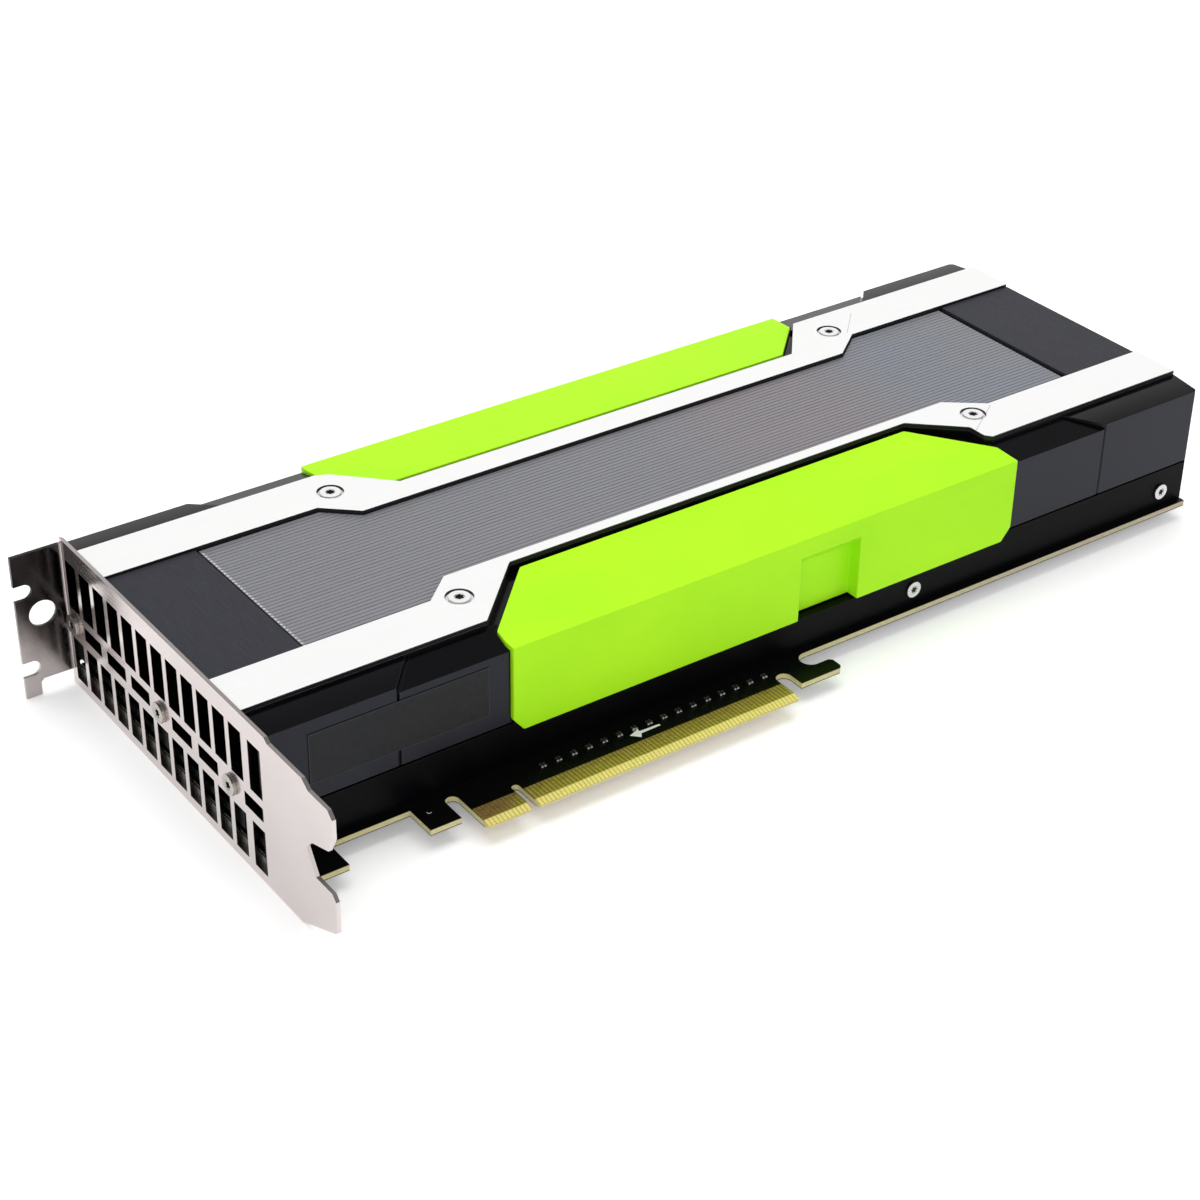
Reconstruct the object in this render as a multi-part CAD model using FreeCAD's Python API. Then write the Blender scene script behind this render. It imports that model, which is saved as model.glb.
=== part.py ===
"""Passive dual-slot accelerator card, lying with its circuit board down.

Frame (millimetres): X runs along the card, from the slot bracket (-X) to the rear end (+X),
and is zero at the centre of the key notch in the edge connector.  Y is zero at the tips of
the edge connector and grows across the card.  Z is zero on the board's component face, with
the heatsink above it.
"""
import FreeCAD, Part
import os

Vec = FreeCAD.Vector

# ---------------------------------------------------------------- driving dimensions
# circuit board
board_thickness = 1.57
board_front_gap = 0.5          # from the bracket's inner face
board_rear_x = 211.0
board_near_y = 13.75           # long edge beside the connector
board_far_y = 111.15           # full card height above the connector tips
board_corner_notch_x = 9.0     # relief under the bracket flange
board_corner_notch_y = 7.0

# edge connector
key_notch_width = 1.9
key_notch_depth = 8.95
finger_front_x = -12.15
finger_rear_x = 72.15
finger_tip_chamfer = 0.5
bevel_length = 2.06
bevel_drop = 0.55
contact_pitch = 1.0
contact_width = 0.7
contact_thickness = 0.05
contact_first = 1.65           # from the key centre to the nearest contact, both ways
contact_top_y = 6.6
guide_tab_front_x = -23.1
guide_tab_rear_x = -15.4
guide_tab_y = 5.5
guide_slot_top_y = 13.2
front_tab_length = 12.6
front_tab_y = 5.2
hook_front_x = 76.1
hook_rear_x = 88.3
hook_bottom_y = 4.1
hook_top_y = 8.4
hook_notch_top_y = 10.0
hook_slot_end_x = 81.6
hook_corner = 0.8

# slot bracket, a bent sheet
sheet = 0.9
bracket_outer_x = -57.0
bracket_bottom_z = -5.4
bracket_top_z = 33.3
bracket_length = 120.02        # tongue end to flange
tongue_end_y = -14.0
tongue_width = 10.2
tongue_pitch = 20.32
lower_tongue_z = 5.3
flange_depth = 12.2
flange_bottom_z = -1.3
flange_foot_width = 3.9
flange_notch_width = 3.9
flange_notch_depth = 4.2
flange_lower_notch_z = 2.2
flange_hole_radius = 3.3
flange_hole_x = -63.0
flange_hole_z = 15.8
bend_radius = 0.5
vent_columns = 12
vent_width = 5.2
vent_first_y = 25.1            # centre of the nearest regular column
vent_far_margin = 5.02         # from the flange to the centre of the farthest column
vent_end_column_y = 17.1       # centre of the lone column beside the tongue
vent_lower = (-3.1, 8.3)
vent_upper = (16.3, 28.6)
vent_middle = (10.7, 14.2)
vent_seal_thickness = 0.3      # film behind the vents, below the board's top face
vent_seal_margin = 0.8
middle_vents = ((14.7, 22.5), (34.0, 42.6), (45.6, 54.6), (65.0, 73.8), (76.4, 85.4), (88.3, 96.8))
bracket_screw_y = (28.3, 59.9, 102.0)
bracket_screw_z = 12.3
bracket_screw_head_radius = 2.5
bracket_screw_head_height = 0.9
bracket_screw_radius = 1.0
bracket_screw_length = 5.4
bracket_boss_depth = 6.4
bracket_boss_side = 6.4

# cooler body: base frame below the seam, shroud and side panels above it
centre_y = 61.5
body_near_y = 15.6
body_front_gap = 0.3
body_rear_overhang = 1.0       # past the board's rear edge
body_rear_x = board_rear_x + body_rear_overhang
wall = 2.0
seam_z = 11.0
crease_z = 30.6
deck_z = 31.6
deck_thickness = 1.6
ceiling_z = 27.6               # underside of the panels and of the shroud's sloping edges
frame_plate_z = 2.2
frame_plate_thickness = 1.8

# silver trim strips, near one given; the far one is its mirror image unless named
strip_thickness = 1.2
strip_outer_y = 24.0
strip_inner_y = 37.4
strip_waist_inner_y = 44.4
near_waist_outer_y = 41.2
far_waist_outer_y = 85.6
strip_front_jog_x = 3.6
strip_rear_jog_x = 149.6
strip_rear_jog_rise = 6.6
far_rear_jog_x = 148.6
far_rear_jog_run = 11.4
far_front_lead = 4.2
inner_front_jog_x = -2.3
inner_rear_jog_x = 160.3
far_inner_rear_jog_x = 157.4
inner_front_jog_run = 7.9
inner_rear_jog_run = 9.2

# top plates and fins
plate_thickness = 1.2
plate_drop = 0.6               # below the trim strips
fin_front_x = -32.9
fin_rear_x = body_rear_x - 24.9
front_plate_gap = 0.7
rear_plate_gap = 1.3
fin_top_z = 31.75
fin_side_y = 19.6
fin_low_top_z = 27.2
fin_pitch = 1.25
fin_sheet = 0.25
fin_roof = 0.5
fin_fold_width = 0.2
fin_fold_depth = 0.12

# green accent covers
cover_sheet = 1.5
cover_side_y = 14.6
cover_crease_z = 30.5
cover_inner_z = 31.6
cover_bottom_z = 8.6
cover_front_x = 4.0
cover_rear_x = 149.4
cover_gap = 1.3                # to the waist of the trim strip
far_cover_gap = 3.2
far_cover_front_x = 6.2
cover_rear_run = 0.8           # length of the slanted rear corner for each unit of its width
far_cover_rear_run = 1.02
cover_corner_x = 2.7
cover_corner_z = 3.4
cover_shoulder_y = 22.0
grip_front_x = 83.0
grip_rear_x = 100.6
grip_top_z = 25.6
grip_depth = 3.4
grip_wall = 1.0

# side panels
panel_front_x = -23.6
panel_rear_x = 179.4
panel_diagonal = 7.6
panel_lip_y = 42.4
panel_crease_drop = 1.3        # the panels lie lower than the shroud's ends
panel_top_drop = 0.6
seam_gap = 0.7
seam_groove_height = 0.5       # between shroud and base frame
seam_groove_depth = 0.8
lap_length = 2.0               # the shroud's ends run on behind the panels
lap_thickness = 0.8
lap_clearance = 0.1
ledge_drop = 0.4               # from a panel's surface to the floor of the seam round it
plate_side_gap = 0.2

# side label
label_front_x = -45.5
label_rear_x = -1.6
label_bottom_z = 15.0
label_top_z = 27.4
label_thickness = 0.15

# screws
slip = 0.05                    # radial clearance of a thread in its bore
socket_share = 0.46            # of the head's radius
free_clearance = 0.3
trim_screw_x = (3.9, 153.6)
near_trim_screw_y = 35.4
far_trim_screw_y = 90.4
trim_recess_radius = 3.2
trim_recess_depth = 0.8
trim_head_radius = 2.5
trim_head_height = 0.8
trim_screw_radius = 1.25
trim_screw_length = 14.0
trim_post_radius = 2.8
side_screw_x = (119.4, 203.2)
side_screw_z = 4.3
side_head_radius = 2.1
side_head_height = 0.6
side_screw_radius = 1.0
side_tab_width = 8.0
side_tab_thickness = 2.4
side_tab_bottom_z = 1.4
board_screw_x = (-30.0, 20.0, 108.0, 160.0)
board_end_screw_x = (-46.0, 190.0)
board_head_radius = 2.4
board_head_height = 1.3
board_screw_radius = 1.25
board_screw_length = 4.4
boss_radius = 3.2
boss_inset = 2.6               # from the inner face of the long wall
rear_corner = 0.8
rear_thread_radius = 1.25
rear_thread_inset = 6.2
rear_thread_depth = 6.5
rear_block_length = 8.5
rear_block_width = 8.8
rear_block_z = 9.4

# processor, memory and cooler core
processor_x = 72.0
package_side = 50.0
package_height = 1.6
stiffener_width = 5.0
stiffener_height = 0.5
die_x_size = 26.0
die_y_size = 24.0
die_height = 0.8
paste_thickness = 0.1
pedestal_side = 34.0
chamber_length = 110.0
chamber_margin = 3.9           # from the side of the fins
chamber_thickness = 3.0
chamber_lift = 0.3             # above the base frame's plate
memory_long = 14.0
memory_short = 12.0
memory_height = 1.2
memory_pitch = 15.5
memory_gap = 2.0               # to the processor package
retention_x = 34.5
retention_y = 33.0
retention_screw_radius = 1.5
retention_post_radius = 3.0
retention_head_radius = 2.8
retention_head_height = 1.3
retention_sheet = 2.0
insulator_sheet = 0.25
retention_arm = 10.0
retention_hub = 60.0
retention_window = 40.0
back_rows = 6
back_pitch_x = 4.6
back_pitch_y = 5.6
back_block_length = 3.2
back_block_width = 1.6
back_block_height = 1.0

# power section
inductor_side = 9.0
inductor_height = 6.2
inductor_x = 142.0
inductor_pitch = 10.2
phase_count = 7
stage_x = 152.5
stage_length = 6.0
stage_width = 5.0
stage_height = 0.9
bulk_x = 168.0
bulk_radius = 3.15
bulk_height = 5.8
bulk_count = 6
output_x = 133.6
output_length = 4.3
output_width = 7.3
output_height = 1.9
socket_y = 87.0
socket_columns = 4
socket_rows = 2
socket_pitch = 4.2
socket_wall = 1.1
socket_length = 14.0
socket_floor = 3.0
pin_side = 1.0
pin_length = 8.0
pin_tail = 0.9

# small parts on the board: x, y, length, width, height
firmware = (-12.0, 40.0, 5.0, 6.0, 0.9)
crystal = (-12.0, 52.0, 2.5, 3.2, 0.8)
controller = (181.0, 44.0, 6.0, 6.0, 0.9)
lanes = 16
lane_first_x = 9.2
lane_pitch = 4.09
lane_y = 11.3
lane_split = 0.4
lane_block_width = 0.5
lane_block_length = 1.0
lane_block_height = 0.45

# ---------------------------------------------------------------- derived places
bracket_inner_x = bracket_outer_x + sheet
board_front_x = bracket_inner_x + board_front_gap
body_front_x = bracket_inner_x + body_front_gap
body_far_y = 2 * centre_y - body_near_y
flange_outer_y = tongue_end_y + bracket_length
board_back_z = -board_thickness
strip_top_z = deck_z + strip_thickness
lip_z = deck_z - deck_thickness
vent_pitch = (flange_outer_y - vent_far_margin - vent_first_y) / (vent_columns - 1)
chamber_width = 2 * (centre_y - fin_side_y - chamber_margin)
frame_top_z = frame_plate_z + frame_plate_thickness
chamber_bottom_z = frame_top_z + chamber_lift
chamber_top_z = chamber_bottom_z + chamber_thickness
die_top_z = package_height + die_height
window_side = pedestal_side + 22.0
plate_top_z = strip_top_z - plate_drop
plate_deck_z = plate_top_z - plate_thickness
far_waist_mirrored_y = 2 * centre_y - far_waist_outer_y

# what differs between the two long sides, each seen as if it were the near one
near_side = {"waist_y": near_waist_outer_y, "front_lead": 0.0, "inner_rear_x": inner_rear_jog_x,
             "cover_y": near_waist_outer_y - cover_gap, "cover_front_x": cover_front_x,
             "cover_rear_run": cover_rear_run, "plain": False}
far_side = {"waist_y": far_waist_mirrored_y, "front_lead": far_front_lead,
            "inner_rear_x": far_inner_rear_jog_x,
            "cover_y": far_waist_mirrored_y - far_cover_gap,
            "cover_front_x": far_cover_front_x, "cover_rear_run": far_cover_rear_run,
            "plain": True}


# ---------------------------------------------------------------- helpers
def box(x0, x1, y0, y1, z0, z1):
    return Part.makeBox(x1 - x0, y1 - y0, z1 - z0, Vec(x0, y0, z0))


def prism(points, direction):
    """A closed outline of 3-D points, pushed along a direction."""
    wire = Part.makePolygon(points + [points[0]])
    return Part.Face(wire).extrude(direction)


def plan_prism(outline, z0, z1):
    return prism([Vec(x, y, z0) for x, y in outline], Vec(0, 0, z1 - z0))


def section_prism(outline, x0, x1):
    """An outline of (y, z) points, pushed along the card."""
    return prism([Vec(x0, y, z) for y, z in outline], Vec(x1 - x0, 0, 0))


def side_prism(outline, y0, y1):
    """An outline of (x, z) points, pushed across the card."""
    return prism([Vec(x, y0, z) for x, z in outline], Vec(0, y1 - y0, 0))


def rod(radius, start, end):
    axis = end - start
    return Part.makeCylinder(radius, axis.Length, start, axis)


def upright(radius, x, y, z0, z1):
    return rod(radius, Vec(x, y, z0), Vec(x, y, z1))


def mirrored(shape):
    return shape.mirror(Vec(0, centre_y, 0), Vec(0, 1, 0))


def fused(shapes):
    """One solid from touching shapes, with leftover seams removed."""
    return shapes[0].fuse(shapes[1:]).removeSplitter()


def cut_all(shape, tools):
    return shape.cut(tools)


def save(name, shapes):
    shapes = shapes if isinstance(shapes, list) else [shapes]
    shape = shapes[0] if len(shapes) == 1 else Part.makeCompound(shapes)
    shape.exportStep("parts/" + name + ".step")


def rounded_slot(x0, x1, y0, top):
    """A slot through the board, open towards the connector and round at its end."""
    radius = (x1 - x0) / 2
    z0 = board_back_z - 1
    straight = box(x0, x1, y0, top - radius, z0, 1)
    return straight.fuse(upright(radius, x0 + radius, top - radius, z0, 1))


# ---------------------------------------------------------------- circuit board
def board_screw_places():
    """Screws from the back of the board into the base frame, in from its two long walls."""
    near = body_near_y + wall + boss_inset
    far = 2 * centre_y - near
    places = [(x, near) for x in board_screw_x]
    places += [(x, far) for x in board_screw_x]
    places += [(x, centre_y) for x in board_end_screw_x]
    return places


def retention_places():
    return [(processor_x + i * retention_x, centre_y + j * retention_y)
            for i in (-1, 1) for j in (-1, 1)]


def connector_edge():
    """The strip of board beside the connector: guide tab, fingers, key notch and latch hook."""
    z0, z1 = board_back_z - 1, 1
    strip = box(guide_tab_front_x, hook_rear_x, 0, board_near_y, board_back_z, 0)
    half_key = key_notch_width / 2
    slot_radius = (board_near_y - hook_top_y) / 2
    slot_y = hook_top_y + slot_radius
    cuts = [
        box(guide_tab_front_x - 1, guide_tab_rear_x, -1, guide_tab_y, z0, z1),
        rounded_slot(guide_tab_rear_x, finger_front_x, -1, guide_slot_top_y),
        rounded_slot(-half_key, half_key, -1, key_notch_depth),
        rounded_slot(finger_rear_x, hook_front_x, -1, hook_notch_top_y),
        box(hook_front_x - 0.01, hook_rear_x + 1, -1, hook_bottom_y, z0, z1),
        box(hook_slot_end_x + slot_radius, hook_rear_x + 1, hook_top_y, board_near_y, z0, z1),
        upright(slot_radius, hook_slot_end_x + slot_radius, slot_y, z0, z1),
    ]
    for y, step in ((hook_bottom_y, hook_corner), (hook_top_y, -hook_corner)):
        corner = [(hook_rear_x, y), (hook_rear_x - hook_corner, y), (hook_rear_x, y + step)]
        cuts.append(plan_prism(corner, z0, z1))
    for edge, inward in ((finger_front_x, 1), (-half_key, -1), (half_key, 1), (finger_rear_x, -1)):
        run = finger_tip_chamfer * inward
        cuts.append(plan_prism([(edge, 0), (edge + run, 0), (edge, finger_tip_chamfer)], z0, z1))
    return cut_all(strip, cuts)


def finger_bevels():
    upper = [(-1, 0.1), (bevel_length, 0), (0, -bevel_drop), (-1, -bevel_drop)]
    lower = [(y, board_back_z - z) for y, z in upper]
    return [section_prism(side, finger_front_x - 1, finger_rear_x + 1) for side in (upper, lower)]


def circuit_board():
    front_tab_x = board_front_x + front_tab_length
    notch_x = board_front_x + board_corner_notch_x
    pieces = [
        box(board_front_x, board_rear_x, board_near_y, board_far_y, board_back_z, 0),
        box(board_front_x, front_tab_x, front_tab_y, board_near_y, board_back_z, 0),
        connector_edge(),
    ]
    holes = [box(board_front_x - 1, notch_x, board_far_y - board_corner_notch_y,
                 board_far_y + 1, board_back_z - 1, 1)]
    holes += finger_bevels()
    holes += [upright(board_screw_radius + free_clearance, x, y, board_back_z - 1, 1)
              for x, y in board_screw_places()]
    holes += [upright(retention_screw_radius + free_clearance, x, y, board_back_z - 1, 1)
              for x, y in retention_places()]
    holes += [upright(pin_side / 2 ** 0.5 + 0.15, x, y, board_back_z - 1, 1)
              for x, y, z in pin_places()]
    return cut_all(fused(pieces), holes)


def contact_profile(face_z, outward):
    """One gold contact in section: along the face, then down the bevel."""
    skin = contact_thickness * outward
    drop = bevel_drop * outward
    tip_y = 0.12
    tip_z = face_z - drop * (1 - tip_y / bevel_length)
    return [(contact_top_y, face_z), (bevel_length, face_z), (tip_y, tip_z),
            (tip_y, tip_z + skin), (bevel_length, face_z + skin), (contact_top_y, face_z + skin)]


def edge_contacts(face_z, outward):
    profile = contact_profile(face_z, outward)
    short_side = int((-finger_front_x - contact_first) / contact_pitch) + 1
    long_side = int((finger_rear_x - contact_first) / contact_pitch) + 1
    centres = [-contact_first - i * contact_pitch for i in range(short_side)]
    centres += [contact_first + i * contact_pitch for i in range(long_side)]
    half = contact_width / 2
    return [section_prism(profile, x - half, x + half) for x in centres]


# ---------------------------------------------------------------- slot bracket
def bracket_outline():
    """Outline of the bracket's face in (y, z), from the flange corner round the tongues."""
    half = tongue_width / 2
    low, high = lower_tongue_z, lower_tongue_z + tongue_pitch
    far = flange_outer_y
    end = tongue_end_y
    return [
        (far, bracket_bottom_z), (far, bracket_top_z),
        (12.4, bracket_top_z), (11.0, bracket_top_z - 0.9),
        (-2.6, bracket_top_z - 0.9), (-5.0, high + half),
        (end + 1.6, high + half), (end, high + half - 1.6),
        (end, high - 1.2), (end + 2.0, high - half),
        (-5.4, high - half - 2.1), (-3.0, high - half - 4.7),
        (-6.2, low + half), (end + 1.4, low + half),
        (end, low + half - 1.4), (end, low - half + 1.2),
        (end + 1.0, low - half + 0.4), (0.6, bracket_bottom_z),
    ]


def vent_columns_y():
    return [vent_end_column_y] + [vent_first_y + i * vent_pitch for i in range(vent_columns)]


def bracket_vents():
    x0, x1 = bracket_outer_x - 1, bracket_inner_x + 1
    vents = []
    for y in vent_columns_y():
        for z0, z1 in (vent_lower, vent_upper):
            vents.append(box(x0, x1, y - vent_width / 2, y + vent_width / 2, z0, z1))
    vents += [box(x0, x1, y0, y1, vent_middle[0], vent_middle[1]) for y0, y1 in middle_vents]
    vents += [rod(bracket_screw_radius + free_clearance, Vec(x0, y, bracket_screw_z),
                  Vec(x1, y, bracket_screw_z)) for y in bracket_screw_y]
    return vents


def flange_cuts():
    """Two screw notches open to the flange's edge, a round hole, and the raised inner foot."""
    y0, y1 = flange_outer_y - sheet - 1, flange_outer_y + 1
    tip = bracket_outer_x - flange_depth
    cuts = []
    for z in (flange_lower_notch_z, flange_lower_notch_z + tongue_pitch):
        half = flange_notch_width / 2
        end = tip + flange_notch_depth - half
        cuts.append(box(tip - 1, end, y0, y1, z - half, z + half))
        cuts.append(rod(half, Vec(end, y0, z), Vec(end, y1, z)))
    cuts.append(rod(flange_hole_radius, Vec(flange_hole_x, y0, flange_hole_z),
                    Vec(flange_hole_x, y1, flange_hole_z)))
    foot = tip + flange_foot_width
    inner = bracket_outer_x + 0.01
    relief = [(foot, bracket_bottom_z - 1), (foot, flange_bottom_z - 0.8),
              (foot + 0.8, flange_bottom_z), (inner, flange_bottom_z),
              (inner, bracket_bottom_z - 1)]
    cuts.append(side_prism(relief, y0, y1))
    top = [(tip - 1, bracket_top_z - 1.2), (inner, bracket_top_z - 1.2),
           (inner, bracket_top_z + 1), (tip - 1, bracket_top_z + 1)]
    cuts.append(side_prism(top, y0, y1))
    return cuts


def mounting_bracket():
    y1 = flange_outer_y
    face = box(bracket_outer_x, bracket_inner_x, tongue_end_y, y1, bracket_bottom_z, bracket_top_z)
    flange = box(bracket_outer_x - flange_depth, bracket_outer_x, y1 - sheet, y1,
                 bracket_bottom_z, bracket_top_z)
    angle = fused([face, flange])
    for x, y, radius in ((bracket_inner_x, y1, bend_radius + sheet),
                         (bracket_outer_x, y1 - sheet, bend_radius)):
        bend = [e for e in angle.Edges
                if abs(e.CenterOfMass.x - x) < 1e-6 and abs(e.CenterOfMass.y - y) < 1e-6]
        angle = angle.makeFillet(radius, bend)
    reach = section_prism(bracket_outline(), bracket_outer_x - flange_depth - 1,
                          bracket_inner_x + 1)
    return cut_all(angle.common(reach), bracket_vents() + flange_cuts())


def vent_seal():
    """Dark film on the bracket's inner face that closes the vents below the board."""
    y0 = vent_end_column_y - vent_width / 2 - vent_seal_margin
    y1 = flange_outer_y - bend_radius - sheet
    return box(bracket_inner_x, bracket_inner_x + vent_seal_thickness, y0, y1,
               vent_lower[0] - vent_seal_margin, -0.05)


def socket_screw(axis_start, direction, head_radius, head_height, radius, length):
    """A screw with a plain shank and a round socket in its head; start is under the head."""
    unit = Vec(direction)
    unit.normalize()
    head_end = axis_start - unit * head_height
    shank = rod(radius, axis_start, axis_start + unit * length)
    head = rod(head_radius, head_end, axis_start)
    socket = rod(head_radius * socket_share, head_end - unit * 0.1,
                 head_end + unit * head_height * 0.7)
    return fused([head, shank]).cut(socket)


def bracket_screws():
    return [socket_screw(Vec(bracket_outer_x, y, bracket_screw_z), Vec(1, 0, 0),
                         bracket_screw_head_radius, bracket_screw_head_height,
                         bracket_screw_radius, bracket_screw_length)
            for y in bracket_screw_y]


# ---------------------------------------------------------------- trim strips and openings
def inner_edge(side, clearance):
    """The strip's edge beside the fins, from front to rear; clearance moves it inwards."""
    y0, y1 = strip_inner_y + clearance, strip_waist_inner_y + clearance
    rear = side["inner_rear_x"]
    return [(inner_front_jog_x, y0), (inner_front_jog_x + inner_front_jog_run, y1),
            (rear - inner_rear_jog_run, y1), (rear, y0)]


def space_between_strips(clearance, z0, sides=(near_side, far_side)):
    """Everything above z0 between the two strips' inner edges, less a clearance."""
    ends = strip_inner_y + clearance
    edges = [[(body_front_x - 1, ends)] + inner_edge(side, clearance) + [(body_rear_x + 1, ends)]
             for side in sides]
    far_edge = [(x, 2 * centre_y - y) for x, y in reversed(edges[1])]
    return plan_prism(edges[0] + far_edge, z0, strip_top_z + 1)


def outer_edge(side):
    """The strip's edge beside the accent cover, from rear to front."""
    waist_y, lead = side["waist_y"], side["front_lead"]
    rise = waist_y - strip_outer_y - lead / 3
    if side["plain"]:
        rear = [(far_rear_jog_x, strip_outer_y), (far_rear_jog_x - far_rear_jog_run, waist_y)]
    else:
        turn = strip_rear_jog_x - 1.4
        rest = waist_y - strip_outer_y - strip_rear_jog_rise
        rear = [(strip_rear_jog_x, strip_outer_y), (turn, strip_outer_y + 1.6),
                (turn, strip_outer_y + strip_rear_jog_rise), (turn - rest * 1.12, waist_y)]
    front = [(strip_front_jog_x + lead + rise, waist_y),
             (strip_front_jog_x + lead, strip_outer_y + lead / 3)]
    if lead > 0:
        front.append((strip_front_jog_x + lead / 4, strip_outer_y))
    return rear + front


def strip_outline(side):
    x0, x1 = body_front_x, body_rear_x
    return ([(x0, strip_outer_y), (x0, strip_inner_y)] + inner_edge(side, 0)
            + [(x1, strip_inner_y), (x1, strip_outer_y)] + outer_edge(side))


def trim_screw_places():
    return [(x, y) for x in trim_screw_x for y in (near_trim_screw_y, far_trim_screw_y)]


def trim_strip(side):
    strip = plan_prism(strip_outline(side), deck_z, strip_top_z)
    strip = mirrored(strip) if side is far_side else strip
    cuts = []
    for x, y in trim_screw_places():
        cuts.append(upright(trim_recess_radius, x, y, strip_top_z - trim_recess_depth,
                            strip_top_z + 1))
        cuts.append(upright(trim_screw_radius + free_clearance, x, y, deck_z - 1, strip_top_z))
    return cut_all(strip, cuts)


def trim_screws():
    seat = strip_top_z - trim_recess_depth
    return [socket_screw(Vec(x, y, seat), Vec(0, 0, -1), trim_head_radius, trim_head_height,
                         trim_screw_radius, trim_screw_length) for x, y in trim_screw_places()]


def top_plate(x0, x1):
    """A flat cover plate between the two strips."""
    y0 = strip_inner_y + plate_side_gap
    return box(x0, x1, y0, 2 * centre_y - y0, plate_deck_z, plate_top_z)


# ---------------------------------------------------------------- accent covers
def cover_slope(y):
    """Height of the accent cover's sloping top above the card at y."""
    rise = (cover_inner_z - cover_crease_z) / (near_waist_outer_y - cover_gap - cover_side_y)
    return cover_crease_z + rise * (y - cover_side_y)


def cover_section(inset, inner_y, bottom_z):
    """Solid section under the cover's outer faces, moved inwards by the inset."""
    side = cover_side_y + inset
    return [(side, bottom_z), (side, cover_slope(side) - inset),
            (inner_y, cover_slope(inner_y) - inset), (inner_y, bottom_z)]


def cover_plan(side, grow):
    """Plan outline of the accent cover; grow widens it all round for its seat."""
    front, rear = side["cover_front_x"] - grow, cover_rear_x + grow
    shoulder, inner = cover_shoulder_y, side["cover_y"] + grow
    run = inner - shoulder - grow
    return [(front, 0), (front, cover_side_y + 3), (front + 0.7, shoulder),
            (front + 0.7 + run, inner), (rear - run * side["cover_rear_run"], inner),
            (rear, shoulder), (rear, 0)]


def cover_side_outline(side, grow):
    x0, x1 = side["cover_front_x"] - grow, cover_rear_x + grow
    z0 = cover_bottom_z - grow
    return [(x0, z0 + cover_corner_z), (x0 + cover_corner_x, z0), (x1 - cover_corner_x, z0),
            (x1, z0 + cover_corner_z), (x1, strip_top_z), (x0, strip_top_z)]


def grip_pocket(grow):
    """The shallow pocket in the near cover's side, open at the bottom, with a sloping top."""
    back = cover_side_y + grip_depth + grow
    top = grip_top_z + grow
    outline = [(cover_side_y - 1, cover_bottom_z - 1 - grow), (back, cover_bottom_z - 1 - grow),
               (back, top - grip_depth), (cover_side_y, top), (cover_side_y - 1, top)]
    return section_prism(outline, grip_front_x - grow, grip_rear_x + grow)


def cover_block(side, inset, grow):
    """The whole space that the cover's skin encloses, down to an inset from its outer faces."""
    y1 = side["cover_y"] + grow + 1
    block = section_prism(cover_section(inset, y1, cover_bottom_z - 1 - grow),
                          cover_front_x - 1, cover_rear_x + 1)
    block = block.common(plan_prism(cover_plan(side, grow), cover_bottom_z - 2, strip_top_z))
    return block.common(side_prism(cover_side_outline(side, grow), 0, y1))


def cover_core(side):
    """Space behind the cover's skin."""
    return section_prism(cover_section(cover_sheet, side["cover_y"] + 2, cover_bottom_z - 2),
                         cover_front_x - 2, cover_rear_x + 2)


def accent_cover(side):
    outside = cover_block(side, 0, 0)
    if side["plain"]:
        return outside.cut(cover_core(side))
    return outside.cut(grip_pocket(0)).cut(cover_core(side).cut(grip_pocket(grip_wall)))


def cover_seat(side):
    """Room for the cover's skin in what lies behind it."""
    skin = cover_block(side, -1.0, free_clearance).cut(cover_core(side))
    if side["plain"]:
        return skin
    room = grip_pocket(grip_wall + free_clearance)
    low = box(grip_front_x - 3, grip_rear_x + 3, 0, centre_y, 0, cover_bottom_z - free_clearance)
    return skin.fuse(room.cut(low))


# ---------------------------------------------------------------- side panels and shroud
def panel_zone(grow):
    """Space of a side panel: slanted ends on the sloping edge, upright ends on the side."""
    x0, x1 = panel_front_x - grow, panel_rear_x + grow
    run = panel_diagonal
    side = [(x0, 0), (x0, body_near_y), (x0 + run, strip_outer_y), (x1 - run, strip_outer_y),
            (x1, body_near_y), (x1, 0)]
    upper = plan_prism(side, seam_z - 1, strip_top_z)
    lip = box(x0 + run, x1 - run, strip_outer_y - 1, panel_lip_y + grow, seam_z, lip_z)
    return upper.fuse(lip)


def edge_section(crease, top, inner_y, inner_top_z):
    """Side wall, crease and sloping top edge in (y, z)."""
    return [(body_near_y, seam_z), (body_near_y, crease), (strip_outer_y, top),
            (strip_outer_y, inner_top_z), (inner_y, inner_top_z), (inner_y, ceiling_z),
            (body_near_y + wall, ceiling_z), (body_near_y + wall, seam_z)]


def panel_laps(grow):
    """Inner layer of the shroud's wall that runs on behind each end of a side panel."""
    outer = body_near_y + wall - lap_thickness - grow
    top = ceiling_z + lap_thickness + grow
    layer = [(outer, seam_z), (outer, top), (strip_outer_y, top), (strip_outer_y, ceiling_z),
             (body_near_y + wall, ceiling_z), (body_near_y + wall, seam_z)]
    reach = seam_gap + 1 + panel_diagonal
    strip = section_prism(layer, panel_front_x - reach, panel_rear_x + reach)
    return strip.cut(panel_zone(-lap_length - grow))


def side_tab(x):
    """Tongue that hangs inside the base frame's wall and takes a side screw."""
    y0 = body_near_y + wall
    half = side_tab_width / 2
    tab = box(x - half, x + half, y0, y0 + side_tab_thickness, side_tab_bottom_z, seam_z + 4)
    bore = rod(side_screw_radius + slip, Vec(x, y0 - 1, side_screw_z),
               Vec(x, y0 + side_tab_thickness + 1, side_screw_z))
    return tab.cut(bore)


def side_panel(side):
    section = edge_section(crease_z - panel_crease_drop, deck_z - panel_top_drop,
                           panel_lip_y, lip_z)
    panel = section_prism(section, panel_front_x, panel_rear_x).common(panel_zone(0))
    between = space_between_strips(0, ceiling_z - 1, (side, side))
    panel = panel.cut([between, panel_laps(lap_clearance)])
    panel = fused([panel, side_tab(side_screw_x[0])])
    return panel.cut(cover_seat(side))


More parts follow.
